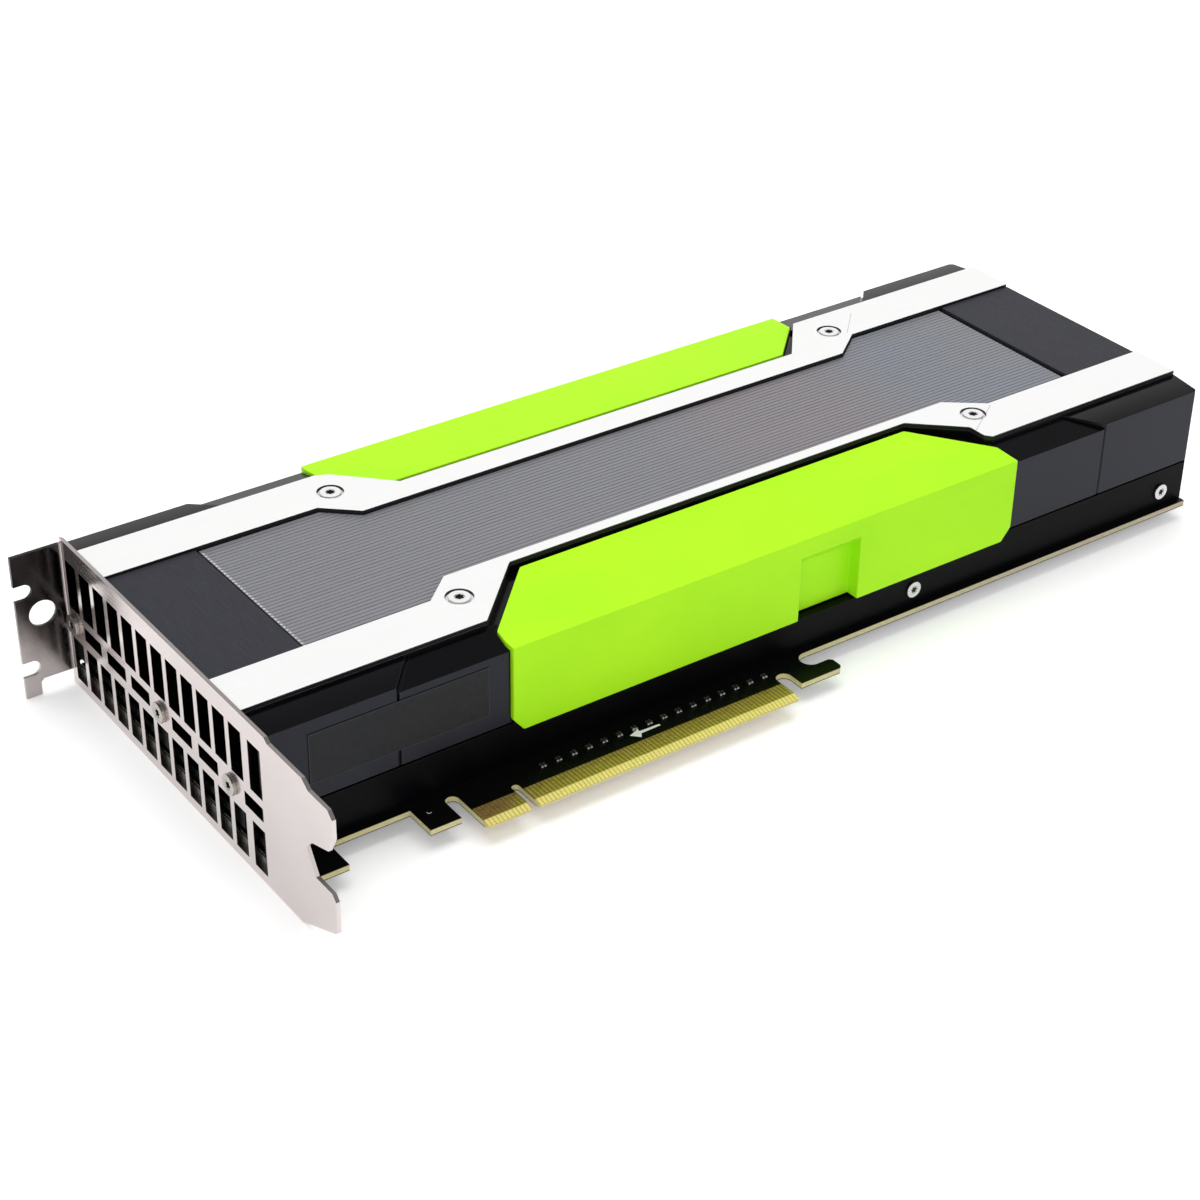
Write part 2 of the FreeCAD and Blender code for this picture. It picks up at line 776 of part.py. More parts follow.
def panel_screw_holes():
    return [upright(trim_screw_radius + free_clearance, x, y, ceiling_z - 1, strip_top_z)
            for x, y in trim_screw_places()]


def seam_ledge():
    """Floor of the seam round a side panel, a little below the panel's surface."""
    section = edge_section(crease_z - panel_crease_drop - ledge_drop,
                           deck_z - panel_top_drop - ledge_drop, strip_outer_y, lip_z)
    floor = section_prism(section, body_front_x, body_rear_x)
    reach = box(body_front_x, body_rear_x, body_near_y + ledge_drop, strip_outer_y,
                seam_z, strip_top_z)
    return floor.common(reach).common(panel_zone(seam_gap)).cut(panel_zone(lap_clearance))


def shroud_side(side):
    """One long side of the shroud: end walls, and the deck under the trim strip."""
    lap_y = strip_outer_y + 2
    section = edge_section(crease_z, deck_z, lap_y, deck_z)
    edge = section_prism(section, body_front_x, body_rear_x)
    lap = box(panel_front_x + panel_diagonal - seam_gap, panel_rear_x - panel_diagonal + seam_gap,
              strip_outer_y - 1, lap_y + 1, seam_z, strip_top_z)
    edge = edge.cut([panel_zone(seam_gap), lap])
    deck = plan_prism(strip_outline(side), lip_z, deck_z)
    tab = side_tab(side_screw_x[1])
    return fused([edge, seam_ledge(), panel_laps(0), deck, tab]).cut(rear_corner_cut())


def rear_corner_cut():
    """Slanted corner between the rear end and a long side."""
    x, y = body_rear_x, body_near_y
    corner = [(x - rear_corner, y - 1), (x + 1, y - 1), (x + 1, y + rear_corner),
              (x, y + rear_corner), (x - rear_corner, y)]
    return plan_prism(corner, -1, strip_top_z)


def plate_deck(x0, x1):
    """Recessed deck that carries a top plate, lapped into the strips' decks."""
    y0 = strip_inner_y - 1
    return box(x0, x1, y0, 2 * centre_y - y0, plate_deck_z - deck_thickness, plate_deck_z)


def upper_shroud():
    plate_front = fin_front_x - front_plate_gap
    plate_rear = fin_rear_x + rear_plate_gap
    near = shroud_side(near_side)
    far = mirrored(shroud_side(far_side))
    decks = [plate_deck(body_front_x, plate_front), plate_deck(plate_rear, body_rear_x)]
    return fused([near, far] + decks).cut(panel_screw_holes())


# ---------------------------------------------------------------- base frame
def frame_wall():
    """The near long wall and its thicker rear block."""
    front, rear = body_front_x, body_rear_x
    lengthwise = box(front, rear, body_near_y, body_near_y + wall, 0, seam_z)
    block = box(rear - rear_block_length, rear, body_near_y, body_near_y + rear_block_width,
                0, rear_block_z)
    return lengthwise, block


def rear_thread():
    """Threaded hole in the near rear block, for a card support."""
    rear, y = body_rear_x, body_near_y + rear_thread_inset
    return rod(rear_thread_radius, Vec(rear - rear_thread_depth, y, rear_block_z / 2),
               Vec(rear + 1, y, rear_block_z / 2))


def frame_windows():
    """Openings in the frame's plate over the processor and the tall parts of the power section."""
    z0, z1 = frame_plate_z - 1, frame_top_z + 1
    half = window_side / 2
    reach = (phase_count * inductor_pitch) / 2 + 1
    bulk_reach = (bulk_count * inductor_pitch) / 2 + 1
    socket_half = socket_columns * socket_pitch / 2 + socket_wall + 1
    windows = [
        box(processor_x - half, processor_x + half, centre_y - half, centre_y + half, z0, z1),
        box(inductor_x - inductor_side / 2 - 1, inductor_x + inductor_side / 2 + 1,
            centre_y - reach, centre_y + reach, z0, z1),
        box(bulk_x - bulk_radius - 1, bulk_x + bulk_radius + 1,
            centre_y - bulk_reach, centre_y + bulk_reach, z0, z1),
        box(board_rear_x - socket_length - 6, body_rear_x + 1,
            socket_y - socket_half, socket_y + socket_half, z0, z1),
    ]
    windows += [upright(retention_post_radius + free_clearance * 2, x, y, z0, z1)
                for x, y in retention_places()]
    return windows


def frame_body():
    """Walls, plate, posts and bosses of the base frame, before its bores."""
    front, rear = body_front_x, body_rear_x
    lengthwise, block = frame_wall()
    pieces = [lengthwise, mirrored(lengthwise),
              box(front, rear, body_near_y, body_far_y, frame_plate_z, frame_top_z)]
    pieces += [upright(trim_post_radius, x, y, frame_plate_z, ceiling_z)
               for x, y in trim_screw_places()]
    pieces += [upright(boss_radius, x, y, 0, frame_top_z) for x, y in board_screw_places()]
    half = bracket_boss_side / 2
    pieces += [box(bracket_inner_x, bracket_inner_x + bracket_boss_depth, y - half, y + half,
                   frame_plate_z, bracket_screw_z + half) for y in bracket_screw_y]
    return fused([fused(pieces).cut(frame_windows()), block, mirrored(block)])


def frame_bores():
    """Bores in the base frame for the rear, board, trim and bracket screws."""
    bores = [rear_thread(), mirrored(rear_thread())]
    board_bore_top = board_screw_length - board_thickness + 0.3
    bores += [upright(board_screw_radius + slip, x, y, -1, board_bore_top)
              for x, y in board_screw_places()]
    trim_bore_end = strip_top_z - trim_recess_depth - trim_screw_length - 0.5
    bores += [upright(trim_screw_radius + slip, x, y, trim_bore_end, ceiling_z + 1)
              for x, y in trim_screw_places()]
    bores += [rod(bracket_screw_radius + slip, Vec(bracket_inner_x - 1, y, bracket_screw_z),
                  Vec(bracket_inner_x + bracket_screw_length, y, bracket_screw_z))
              for y in bracket_screw_y]
    return bores


def side_screw_room(x):
    """Hole for a side screw in the near wall, and room behind it for the tab it goes into."""
    inner_y = body_near_y + wall
    half = side_tab_width / 2 + free_clearance
    hole = rod(side_screw_radius + free_clearance / 2, Vec(x, body_near_y - 1, side_screw_z),
               Vec(x, inner_y + 0.01, side_screw_z))
    room = box(x - half, x + half, inner_y, inner_y + side_tab_thickness + free_clearance,
               0, seam_z + 1)
    return [hole, room]


def base_frame():
    groove = box(body_front_x - 1, body_rear_x + 1, body_near_y - 1,
                 body_near_y + seam_groove_depth, seam_z - seam_groove_height, seam_z + 1)
    near_cuts = [groove, rear_corner_cut()]
    for x in side_screw_x:
        near_cuts += side_screw_room(x)
    cuts = near_cuts + [mirrored(cut) for cut in near_cuts] + frame_bores()
    cuts += [cover_seat(near_side), mirrored(cover_seat(far_side))]
    return cut_all(frame_body(), cuts)


def shroud_side_screws():
    near = [socket_screw(Vec(x, body_near_y, side_screw_z), Vec(0, 1, 0), side_head_radius,
                         side_head_height, side_screw_radius, wall + side_tab_thickness - 0.4)
            for x in side_screw_x]
    return near + [mirrored(screw) for screw in near]


def base_frame_screws():
    return [socket_screw(Vec(x, y, board_back_z), Vec(0, 0, 1), board_head_radius,
                         board_head_height, board_screw_radius, board_screw_length)
            for x, y in board_screw_places()]


def side_label():
    return box(label_front_x, label_rear_x, body_near_y - label_thickness, body_near_y,
               label_bottom_z, label_top_z)


# ---------------------------------------------------------------- cooler core
def fin_section(high, folded):
    """Row of air channels in (y, z): outer outline, with a fold line over each fin if folded."""
    span = 2 * (centre_y - fin_side_y)
    count = int((span - fin_sheet) / fin_pitch)
    start = centre_y - count * fin_pitch / 2
    end = start + count * fin_pitch
    low = chamber_top_z
    half = fin_fold_width / 2
    outline = [(start - fin_sheet / 2, low), (start - fin_sheet / 2, high)]
    for i in range(1, count if folded else 1):
        y = start + i * fin_pitch
        outline += [(y - half, high), (y - half, high - fin_fold_depth),
                    (y + half, high - fin_fold_depth), (y + half, high)]
    outline += [(end + fin_sheet / 2, high), (end + fin_sheet / 2, low)]
    cells = [(start + i * fin_pitch + fin_sheet / 2, start + (i + 1) * fin_pitch - fin_sheet / 2)
             for i in range(count)]
    return outline, cells


def fin_channels(x0, x1, high, folded):
    outline, cells = fin_section(high, folded)
    block = section_prism(outline, x0, x1)
    return block.cut([box(x0 - 1, x1 + 1, y0, y1, chamber_top_z + fin_sheet, high - fin_roof)
                      for y0, y1 in cells])


def fin_stack():
    """Full height between the trim strips, lower under them and under the side panels."""
    tall_space = space_between_strips(free_clearance, chamber_top_z - 1)
    tall = fin_channels(fin_front_x, fin_rear_x, fin_top_z, True).common(tall_space)
    low = fin_channels(fin_front_x, fin_rear_x, fin_low_top_z, False).cut(tall_space)
    holes = [upright(trim_post_radius + free_clearance * 2, x, y, chamber_top_z - 1, fin_top_z)
             for x, y in trim_screw_places()]
    return tall.fuse(low).cut(holes)


def vapour_chamber():
    x0, x1 = processor_x - chamber_length / 2, processor_x + chamber_length / 2
    y0, y1 = centre_y - chamber_width / 2, centre_y + chamber_width / 2
    half = pedestal_side / 2
    bottom = die_top_z + paste_thickness
    chamber = box(x0, x1, y0, y1, chamber_bottom_z, chamber_top_z)
    pieces = [chamber.makeFillet(3.0, [e for e in chamber.Edges
                                       if abs(e.BoundBox.ZLength - chamber_thickness) < 1e-6])]
    pieces.append(box(processor_x - half, processor_x + half, centre_y - half, centre_y + half,
                      bottom, chamber_bottom_z + 1))
    pieces += [upright(retention_post_radius, x, y, free_clearance, chamber_bottom_z + 1)
               for x, y in retention_places()]
    bores = [upright(retention_screw_radius + slip, x, y, 0, chamber_bottom_z)
             for x, y in retention_places()]
    return cut_all(fused(pieces), bores)


def processor_block(side_x, side_y, z0, z1):
    return box(processor_x - side_x / 2, processor_x + side_x / 2,
               centre_y - side_y / 2, centre_y + side_y / 2, z0, z1)


def package_stiffener():
    outer = processor_block(package_side, package_side, package_height,
                            package_height + stiffener_height)
    hole = package_side - 2 * stiffener_width
    return outer.cut(processor_block(hole, hole, 0, package_height + 2))


def memory_places():
    """Centres and sizes of the memory packages: a row on each long side, a column in front."""
    offset = package_side / 2 + memory_gap + memory_short / 2
    steps = [(i - 1.5) * memory_pitch for i in range(4)]
    rows = [(processor_x + s, centre_y + side * offset, memory_long, memory_short)
            for side in (-1, 1) for s in steps]
    column_x = processor_x - retention_x - retention_post_radius - 1 - memory_short / 2
    return rows + [(column_x, centre_y + s, memory_short, memory_long) for s in steps]


def blocks(places, z0, z1):
    return [box(x - a / 2, x + a / 2, y - b / 2, y + b / 2, z0, z1) for x, y, a, b in places]


def memory_thermal_pads():
    pads = [(x, y, a - 1.5, b - 1.5) for x, y, a, b in memory_places()]
    return blocks(pads, memory_height, frame_plate_z)


# ---------------------------------------------------------------- retention plate
def retention_outline_shape(z0, z1, hub):
    """Square hub with four arms to the screws, and a window for the parts behind the processor."""
    reach_x, reach_y = retention_x, retention_y
    plate = processor_block(hub, hub, z0, z1)
    half = retention_arm / 2
    arms = []
    for i in (-1, 1):
        for j in (-1, 1):
            x, y = processor_x + i * reach_x, centre_y + j * reach_y
            inner_x, inner_y = processor_x + i * hub / 4, centre_y + j * hub / 4
            arms.append(plan_prism([(x - half * j * i, y + half), (x + half * j * i, y - half),
                                    (inner_x + half * j * i, inner_y - half),
                                    (inner_x - half * j * i, inner_y + half)][::j * i], z0, z1))
            arms.append(upright(half, x, y, z0, z1))
    shape = fused([plate] + arms)
    holes = [upright(retention_screw_radius + free_clearance, x, y, z0 - 1, z1 + 1)
             for x, y in retention_places()]
    holes.append(processor_block(retention_window, retention_window, z0 - 1, z1 + 1))
    return cut_all(shape, holes)


def retention_plate():
    top = board_back_z - insulator_sheet
    return retention_outline_shape(top - retention_sheet, top, retention_hub)


def retention_insulator():
    return retention_outline_shape(board_back_z - insulator_sheet, board_back_z, retention_hub)


def retention_screws():
    start = board_back_z - insulator_sheet - retention_sheet
    length = -start + chamber_bottom_z - 0.6
    return [socket_screw(Vec(x, y, start), Vec(0, 0, 1), retention_head_radius,
                         retention_head_height, retention_screw_radius, length)
            for x, y in retention_places()]


def back_capacitors():
    """Ceramic blocks on the back of the board inside the retention plate's window."""
    middle = (back_rows - 1) / 2
    places = [(processor_x + (i - 3) * back_pitch_x, centre_y + (j - middle) * back_pitch_y,
               back_block_length, back_block_width) for i in range(7) for j in range(back_rows)]
    return blocks(places, board_back_z - back_block_height, board_back_z)


# ---------------------------------------------------------------- power section
def row_y(count, pitch):
    return [centre_y + (i - (count - 1) / 2) * pitch for i in range(count)]


def power_inductors():
    places = [(inductor_x, y, inductor_side, inductor_side)
              for y in row_y(phase_count, inductor_pitch)]
    bodies = blocks(places, 0, inductor_height)
    return [body.makeFillet(0.6, [e for e in body.Edges if e.BoundBox.ZLength > 1])
            for body in bodies]


def power_stages():
    places = [(stage_x, y, stage_width, stage_length) for y in row_y(phase_count, inductor_pitch)]
    return blocks(places, 0, stage_height)


def power_stage_pad():
    reach = phase_count * inductor_pitch / 2 - 1
    return box(stage_x - stage_width / 2, stage_x + stage_width / 2,
               centre_y - reach, centre_y + reach, stage_height, frame_plate_z)


def output_capacitors():
    places = [(output_x, y, output_length, output_width)
              for y in row_y(phase_count, inductor_pitch)]
    return blocks(places, 0, output_height)


def input_capacitors():
    return [upright(bulk_radius, bulk_x, y, 0, bulk_height)
            for y in row_y(bulk_count, inductor_pitch)]


def pin_places():
    """Pins of the power socket: x of the tail, y, and the height of the blade."""
    first = socket_y - (socket_columns - 1) * socket_pitch / 2
    base_x = board_rear_x - socket_length
    places = []
    for row in range(socket_rows):
        z = socket_wall + socket_pitch * (row + 0.5)
        for column in range(socket_columns):
            places.append((base_x - 1.6 - row * 2.4, first + column * socket_pitch, z))
    return places


def power_connector():
    width = socket_columns * socket_pitch + 2 * socket_wall
    height = socket_rows * socket_pitch + 2 * socket_wall
    x1 = board_rear_x
    x0 = x1 - socket_length
    body = box(x0, x1, socket_y - width / 2, socket_y + width / 2, 0, height)
    latch = box(x1 - 6.0, x1, socket_y - 1.6, socket_y + 1.6, height - 0.1, height + 1.2)
    half = socket_pitch / 2 - 0.3
    cells = []
    for x, y, z in pin_places():
        cells.append(box(x0 + socket_floor, x1 + 1, y - half, y + half, z - half, z + half))
        side = pin_side / 2
        cells.append(box(x0 - 1, x0 + socket_floor, y - side, y + side, z - side, z + side))
    return cut_all(fused([body, latch]), cells)


def power_connector_pins():
    side = pin_side / 2
    tip_x = board_rear_x - socket_length + socket_floor + pin_length
    pins = []
    for x, y, z in pin_places():
        blade = box(x - side, tip_x, y - side, y + side, z - side, z + side)
        tail = box(x - side, x + side, y - side, y + side, board_back_z - pin_tail, z + side)
        pins.append(fused([blade, tail]))
    return pins


# ---------------------------------------------------------------- small parts on the board
def coupling_capacitors():
    """Two small ceramic blocks a lane beside the long row of contacts."""
    places = []
    for i in range(lanes):
        x = lane_first_x + i * lane_pitch
        places += [(x + side * lane_split, lane_y, lane_block_width, lane_block_length)
                   for side in (-1, 1)]
    return blocks(places, 0, lane_block_height)


def small_chip(x, y, a, b, height):
    return box(x - a / 2, x + a / 2, y - b / 2, y + b / 2, 0, height)


# ---------------------------------------------------------------- build
def build():
    os.makedirs("parts", exist_ok=True)
    near_panel = side_panel(near_side).cut(panel_screw_holes())
    far_panel = mirrored(side_panel(far_side)).cut(panel_screw_holes())
    package = processor_block(package_side, package_side, 0, package_height)
    die = processor_block(die_x_size, die_y_size, package_height, die_top_z)
    paste = processor_block(die_x_size, die_y_size, die_top_z, die_top_z + paste_thickness)
    nodes = {
        "circuit_board": circuit_board(),
        "edge_contacts_top": edge_contacts(0, 1),
        "edge_contacts_bottom": edge_contacts(board_back_z, -1),
        "mounting_bracket": mounting_bracket(),
        "bracket_screws": bracket_screws(),
        "vent_seal": vent_seal(),
        "base_frame": base_frame(),
        "base_frame_screws": base_frame_screws(),
        "upper_shroud": upper_shroud(),
        "shroud_side_screws": shroud_side_screws(),
        "near_side_panel": near_panel,
        "far_side_panel": far_panel,
        "near_accent_cover": accent_cover(near_side),
        "far_accent_cover": mirrored(accent_cover(far_side)),
        "near_trim_strip": trim_strip(near_side),
        "far_trim_strip": trim_strip(far_side),
        "trim_screws": trim_screws(),
        "front_top_plate": top_plate(body_front_x, fin_front_x - front_plate_gap),
        "rear_top_plate": top_plate(fin_rear_x + rear_plate_gap, body_rear_x),
        "side_label": side_label(),
        "fin_stack": fin_stack(),
        "vapour_chamber": vapour_chamber(),
        "thermal_paste": paste,
        "processor_package": package,
        "package_stiffener": package_stiffener(),
        "processor_die": die,
        "memory_chips": blocks(memory_places(), 0, memory_height),
        "memory_thermal_pads": memory_thermal_pads(),
        "retention_plate": retention_plate(),
        "retention_insulator": retention_insulator(),
        "retention_screws": retention_screws(),
        "back_capacitors": back_capacitors(),
        "power_inductors": power_inductors(),
        "power_stages": power_stages(),
        "power_stage_pad": power_stage_pad(),
        "output_capacitors": output_capacitors(),
        "input_capacitors": input_capacitors(),
        "power_connector": power_connector(),
        "power_connector_pins": power_connector_pins(),
        "coupling_capacitors": coupling_capacitors(),
        "firmware_chip": small_chip(*firmware),
        "clock_crystal": small_chip(*crystal),
        "voltage_controller": small_chip(*controller),
    }
    for name, shapes in nodes.items():
        save(name, shapes)


build()
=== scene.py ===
"""Looks for the passive accelerator card: materials, printed and soldered detail, studio, camera.

Metres, in the card's own frame: X along the card from its slot bracket, Y across it from the
connector's tips, Z up from the board's component face.
"""
import math
import random

import bpy
import bmesh
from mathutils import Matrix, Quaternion, Vector


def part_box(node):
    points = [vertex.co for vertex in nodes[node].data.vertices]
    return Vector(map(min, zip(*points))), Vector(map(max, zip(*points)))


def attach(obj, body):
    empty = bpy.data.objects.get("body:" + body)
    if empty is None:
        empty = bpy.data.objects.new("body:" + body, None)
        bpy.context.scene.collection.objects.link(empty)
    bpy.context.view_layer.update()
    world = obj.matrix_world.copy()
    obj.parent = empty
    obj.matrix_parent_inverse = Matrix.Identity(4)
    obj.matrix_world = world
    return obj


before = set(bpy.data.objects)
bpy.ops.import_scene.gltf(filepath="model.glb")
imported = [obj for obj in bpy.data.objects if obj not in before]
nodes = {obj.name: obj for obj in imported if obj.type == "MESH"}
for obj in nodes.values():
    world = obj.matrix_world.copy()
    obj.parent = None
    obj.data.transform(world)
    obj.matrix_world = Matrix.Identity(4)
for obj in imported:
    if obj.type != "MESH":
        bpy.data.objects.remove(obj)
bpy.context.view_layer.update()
MM = 0.001


def node_box(name):
    """Lowest and highest corners of a CAD node, in millimetres."""
    low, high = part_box(name)
    return low / MM, high / MM


board_low, board_high = node_box("circuit_board")
contact_low, contact_high = node_box("edge_contacts_top")
fin_low, fin_high = node_box("fin_stack")
plate_low, plate_high = node_box("front_top_plate")
bracket_low, bracket_high = node_box("mounting_bracket")
shroud_low, shroud_high = node_box("upper_shroud")
MIDDLE_Y = (shroud_low.y + shroud_high.y) / 2
BRACKET_SHEET = 0.9            # thickness of the slot bracket
FACE_X = bracket_high.x - BRACKET_SHEET
WELD_GAP = 0.002               # a CAD node's corners that are closer than this are one

# ---------------------------------------------------------------- colours, linear light
BLACK_SHROUD = (0.0008, 0.0009, 0.0016)
SHROUD_SIDE = (0.0022, 0.0029, 0.0098)
# painted shade: near black for the floors of the seams between the side panels and the shroud
SEAM_SHADE_BLACK = (0.0003, 0.0003, 0.0004)
BLACK_CASTING = (0.0006, 0.0006, 0.0010)
CASTING_SIDE = (0.0008, 0.0008, 0.0014)
PLATE_BLACK = (0.0200, 0.0205, 0.0270)
PLATE_WORN = (0.07, 0.07, 0.08)
BOARD_MASK = (0.0020, 0.0022, 0.0020)
BOARD_CORE = (0.72, 0.66, 0.36)
BOARD_CORE_TAN = (0.56, 0.50, 0.35)
BOARD_CORE_DARK = (0.05, 0.045, 0.02)
BOARD_BARE = (0.16, 0.11, 0.035)
BEVEL_BARE = (0.55, 0.44, 0.14)
GREEN = (0.45, 0.93, 0.011)
GREEN_DEEP = (0.38, 0.86, 0.010)
GREEN_WORN = (0.55, 0.95, 0.09)
SILVER = (0.875, 0.875, 0.87)
# near black: the strips' joint lines, and a painted dark reflection on the strips' side faces
STRIP_SIDE_REFLECTION_AND_JOINT = (0.012, 0.012, 0.014)
FIN_METAL = (0.325, 0.327, 0.350)
# rose and blue: colours of the painted iridescent reflection on the fins
FIN_ROSE_REFLECTION = (0.360, 0.312, 0.330)
FIN_BLUE_REFLECTION = (0.285, 0.325, 0.405)
BRACKET_METAL = (0.66, 0.60, 0.585)
SCREW_METAL = (0.66, 0.66, 0.66)
SCREW_WARM = (0.50, 0.46, 0.43)
SCREW_PALE = (0.90, 0.90, 0.89)
SCREW_BLACK = (0.02, 0.02, 0.022)
GOLD = (0.80, 0.52, 0.18)
GOLD_DARK = (0.50, 0.30, 0.09)
GOLD_BEVEL = (0.93, 0.80, 0.25)
COPPER = (0.80, 0.42, 0.27)
LABEL_FILM = (0.0042, 0.0046, 0.0072)
LABEL_RIM = (0.016, 0.016, 0.020)
SILKSCREEN = (0.80, 0.80, 0.78)
SOLDER = (0.62, 0.63, 0.64)


# ---------------------------------------------------------------- node graphs
class Graph:
    """A material's node graph, built by short calls that each return an output socket."""

    # a Mix node's sockets for its factor, a and b, and its result
    COLOUR_MIX = (0, 6, 7, 2)
    NUMBER_MIX = (0, 2, 3, 0)
    # where most of a noise lies
    NOISE_RANGE = (0.3, 0.7)

    def __init__(self, name):
        self.material = bpy.data.materials.new(name)
        self.material.use_nodes = True
        self.tree = self.material.node_tree
        self.shader = self.tree.nodes["Principled BSDF"]
        self.place = self.add("ShaderNodeTexCoord").outputs["Object"]

    def add(self, kind, inputs=None, **settings):
        """A new node with these settings, its inputs linked or given a value."""
        node = self.tree.nodes.new(kind)
        for key, value in settings.items():
            setattr(node, key, value)
        for key, value in (inputs or {}).items():
            self.feed(node.inputs[key], value)
        return node

    def feed(self, socket, value):
        if isinstance(value, bpy.types.NodeSocket):
            self.tree.links.new(value, socket)
        elif isinstance(value, tuple) and len(value) == 3 and socket.type == "RGBA":
            socket.default_value = (*value, 1.0)
        else:
            socket.default_value = value

    def set(self, **values):
        """Feeds the shader's own sockets, named with _ for a space."""
        for key, value in values.items():
            self.feed(self.shader.inputs[key.replace("_", " ")], value)

    def stretched(self, scale):
        """Object coordinates in millimetres, scaled along each axis."""
        factors = tuple(s / MM for s in scale)
        return self.add("ShaderNodeVectorMath", {0: self.place, 1: factors},
                        operation="MULTIPLY").outputs[0]

    def noise(self, scale, detail=2.0, roughness=0.5):
        """Noise with this many waves a millimetre along each axis."""
        node = self.add("ShaderNodeTexNoise", {"Vector": self.stretched(scale), "Scale": 1.0,
                                               "Detail": detail, "Roughness": roughness})
        return node.outputs["Fac"]

    def math(self, operation, a, b=0.0, clamp=False):
        return self.add("ShaderNodeMath", {0: a, 1: b}, operation=operation,
                        use_clamp=clamp).outputs[0]

    def spread(self, value, low, high, to_low=0.0, to_high=1.0):
        """Maps low..high to to_low..to_high and holds it there outside."""
        return self.add("ShaderNodeMapRange", {"Value": value, "From Min": low, "From Max": high,
                                               "To Min": to_low, "To Max": to_high}).outputs[0]

    def swing(self, noise, low=0.0, high=1.0):
        """Maps the range where most of a noise lies to low..high."""
        return self.spread(noise, *self.NOISE_RANGE, low, high)

    def mix(self, factor, a, b):
        """Colour a where the factor is 0, and b where it is 1."""
        at_factor, at_a, at_b, result = self.COLOUR_MIX
        return self.add("ShaderNodeMix", {at_factor: factor, at_a: a, at_b: b},
                        data_type="RGBA").outputs[result]

    def mix_numbers(self, factor, a, b):
        at_factor, at_a, at_b, result = self.NUMBER_MIX
        return self.add("ShaderNodeMix", {at_factor: factor, at_a: a, at_b: b}).outputs[result]

    def axis(self, source, letter):
        return self.add("ShaderNodeSeparateXYZ", {0: source}).outputs[letter]

    def coordinate(self, letter):
        """Object coordinate in millimetres."""
        return self.math("MULTIPLY", self.axis(self.place, letter), 1 / MM)

    def facing(self, letter):
        """1 on faces square to this axis, 0 on faces along it."""
        normal = self.add("ShaderNodeNewGeometry").outputs["True Normal"]
        return self.math("ABSOLUTE", self.axis(normal, letter))

    def upright(self, steep, level):
        """1 on faces that face up or down by less than steep, 0 by more than level."""
        return self.spread(self.facing("Z"), steep, level, 1.0, 0.0)

    def between(self, value, low, high, soft=0.05):
        """1 where value lies between low and high, else 0."""
        up = self.spread(value, low - soft, low + soft)
        down = self.spread(value, high - soft, high + soft, 1.0, 0.0)
        return self.math("MULTIPLY", up, down)

    def scribed_line(self, start, end, half_width=0.09):
        """1 on a thin straight line between two (X, Y) points in millimetres, else 0."""
        run, rise = end[0] - start[0], end[1] - start[1]
        length = math.hypot(run, rise)
        x = self.math("SUBTRACT", self.coordinate("X"), start[0])
        y = self.math("SUBTRACT", self.coordinate("Y"), start[1])
        along = self.math("ADD", self.math("MULTIPLY", x, run / length),
                          self.math("MULTIPLY", y, rise / length))
        across = self.math("SUBTRACT", self.math("MULTIPLY", x, rise / length),
                           self.math("MULTIPLY", y, run / length))
        return self.math("MULTIPLY", self.between(along, 0.0, length),
                         self.between(across, -half_width, half_width, 0.06))

    def worn_edges(self, radius=0.35, strength=6.0, patch=0.9):
        """1 along outside edges, from how far the rounded normal leans from the true one."""
        rounded = self.add("ShaderNodeBevel", {"Radius": radius * MM}, samples=4).outputs[0]
        true = self.add("ShaderNodeNewGeometry").outputs["Normal"]
        dot = self.add("ShaderNodeVectorMath", {0: rounded, 1: true},
                       operation="DOT_PRODUCT").outputs["Value"]
        lean = self.math("SUBTRACT", 1.0, dot)
        patchy = self.spread(self.noise((patch, patch, patch), 3.0), 0.35, 0.7, 0.35, 1.0)
        return self.math("MULTIPLY", self.math("MULTIPLY", lean, strength), patchy, clamp=True)

    def bump(self, height, distance):
        """Bump of the shader's normal, with its full height in millimetres."""
        node = self.add("ShaderNodeBump", {"Height": height, "Distance": distance * MM,
                                           "Strength": 1.0})
        self.set(Normal=node.outputs[0])


def scaled(colour, factor):
    return tuple(c * factor for c in colour)


def moulded_black(name, top, side, grain=3.0, grain_depth=0.012, polish=0.14, roughness=0.34,
                  gloss=0.24, edge=0.02, seam_shade_reach=None):
    """Black that is smooth and glossy on top, finely grained and greyer on its upright faces.

    With a seam reach, upright faces nearer than that to the card's middle line lie in a seam,
    where they are painted near black as the seam's shade.
    """
    g = Graph(name)
    cloud = g.noise((0.05, 0.05, 0.05), 3.0)
    upright = g.upright(0.5, 0.9)
    base = g.mix(upright, top, side)
    lighter = g.mix(upright, scaled(top, 1.5), scaled(side, 1.35))
    body = g.mix(g.worn_edges(), g.mix(g.swing(cloud), base, lighter), (edge, edge, edge * 1.1))
    if seam_shade_reach:
        reach = g.math("ABSOLUTE", g.math("SUBTRACT", g.coordinate("Y"), MIDDLE_Y))
        seam = g.math("MULTIPLY", upright,
                      g.spread(reach, seam_shade_reach - 0.1, seam_shade_reach, 1.0, 0.0))
        # painted shade: upright faces in the seam are coloured near black
        body = g.mix(seam, body, SEAM_SHADE_BLACK)
    g.set(Base_Color=body)
    fine = g.noise((grain, grain, grain), 2.0)
    grained = g.swing(fine, roughness - 0.06, roughness + 0.08)
    smooth = g.swing(cloud, polish - 0.03, polish + 0.05)
    g.set(Roughness=g.mix_numbers(upright, smooth, grained), Specular_IOR_Level=gloss)
    g.bump(g.math("MULTIPLY", fine, g.spread(upright, 0.0, 1.0, 0.08, 1.0)), grain_depth)
    return g.material


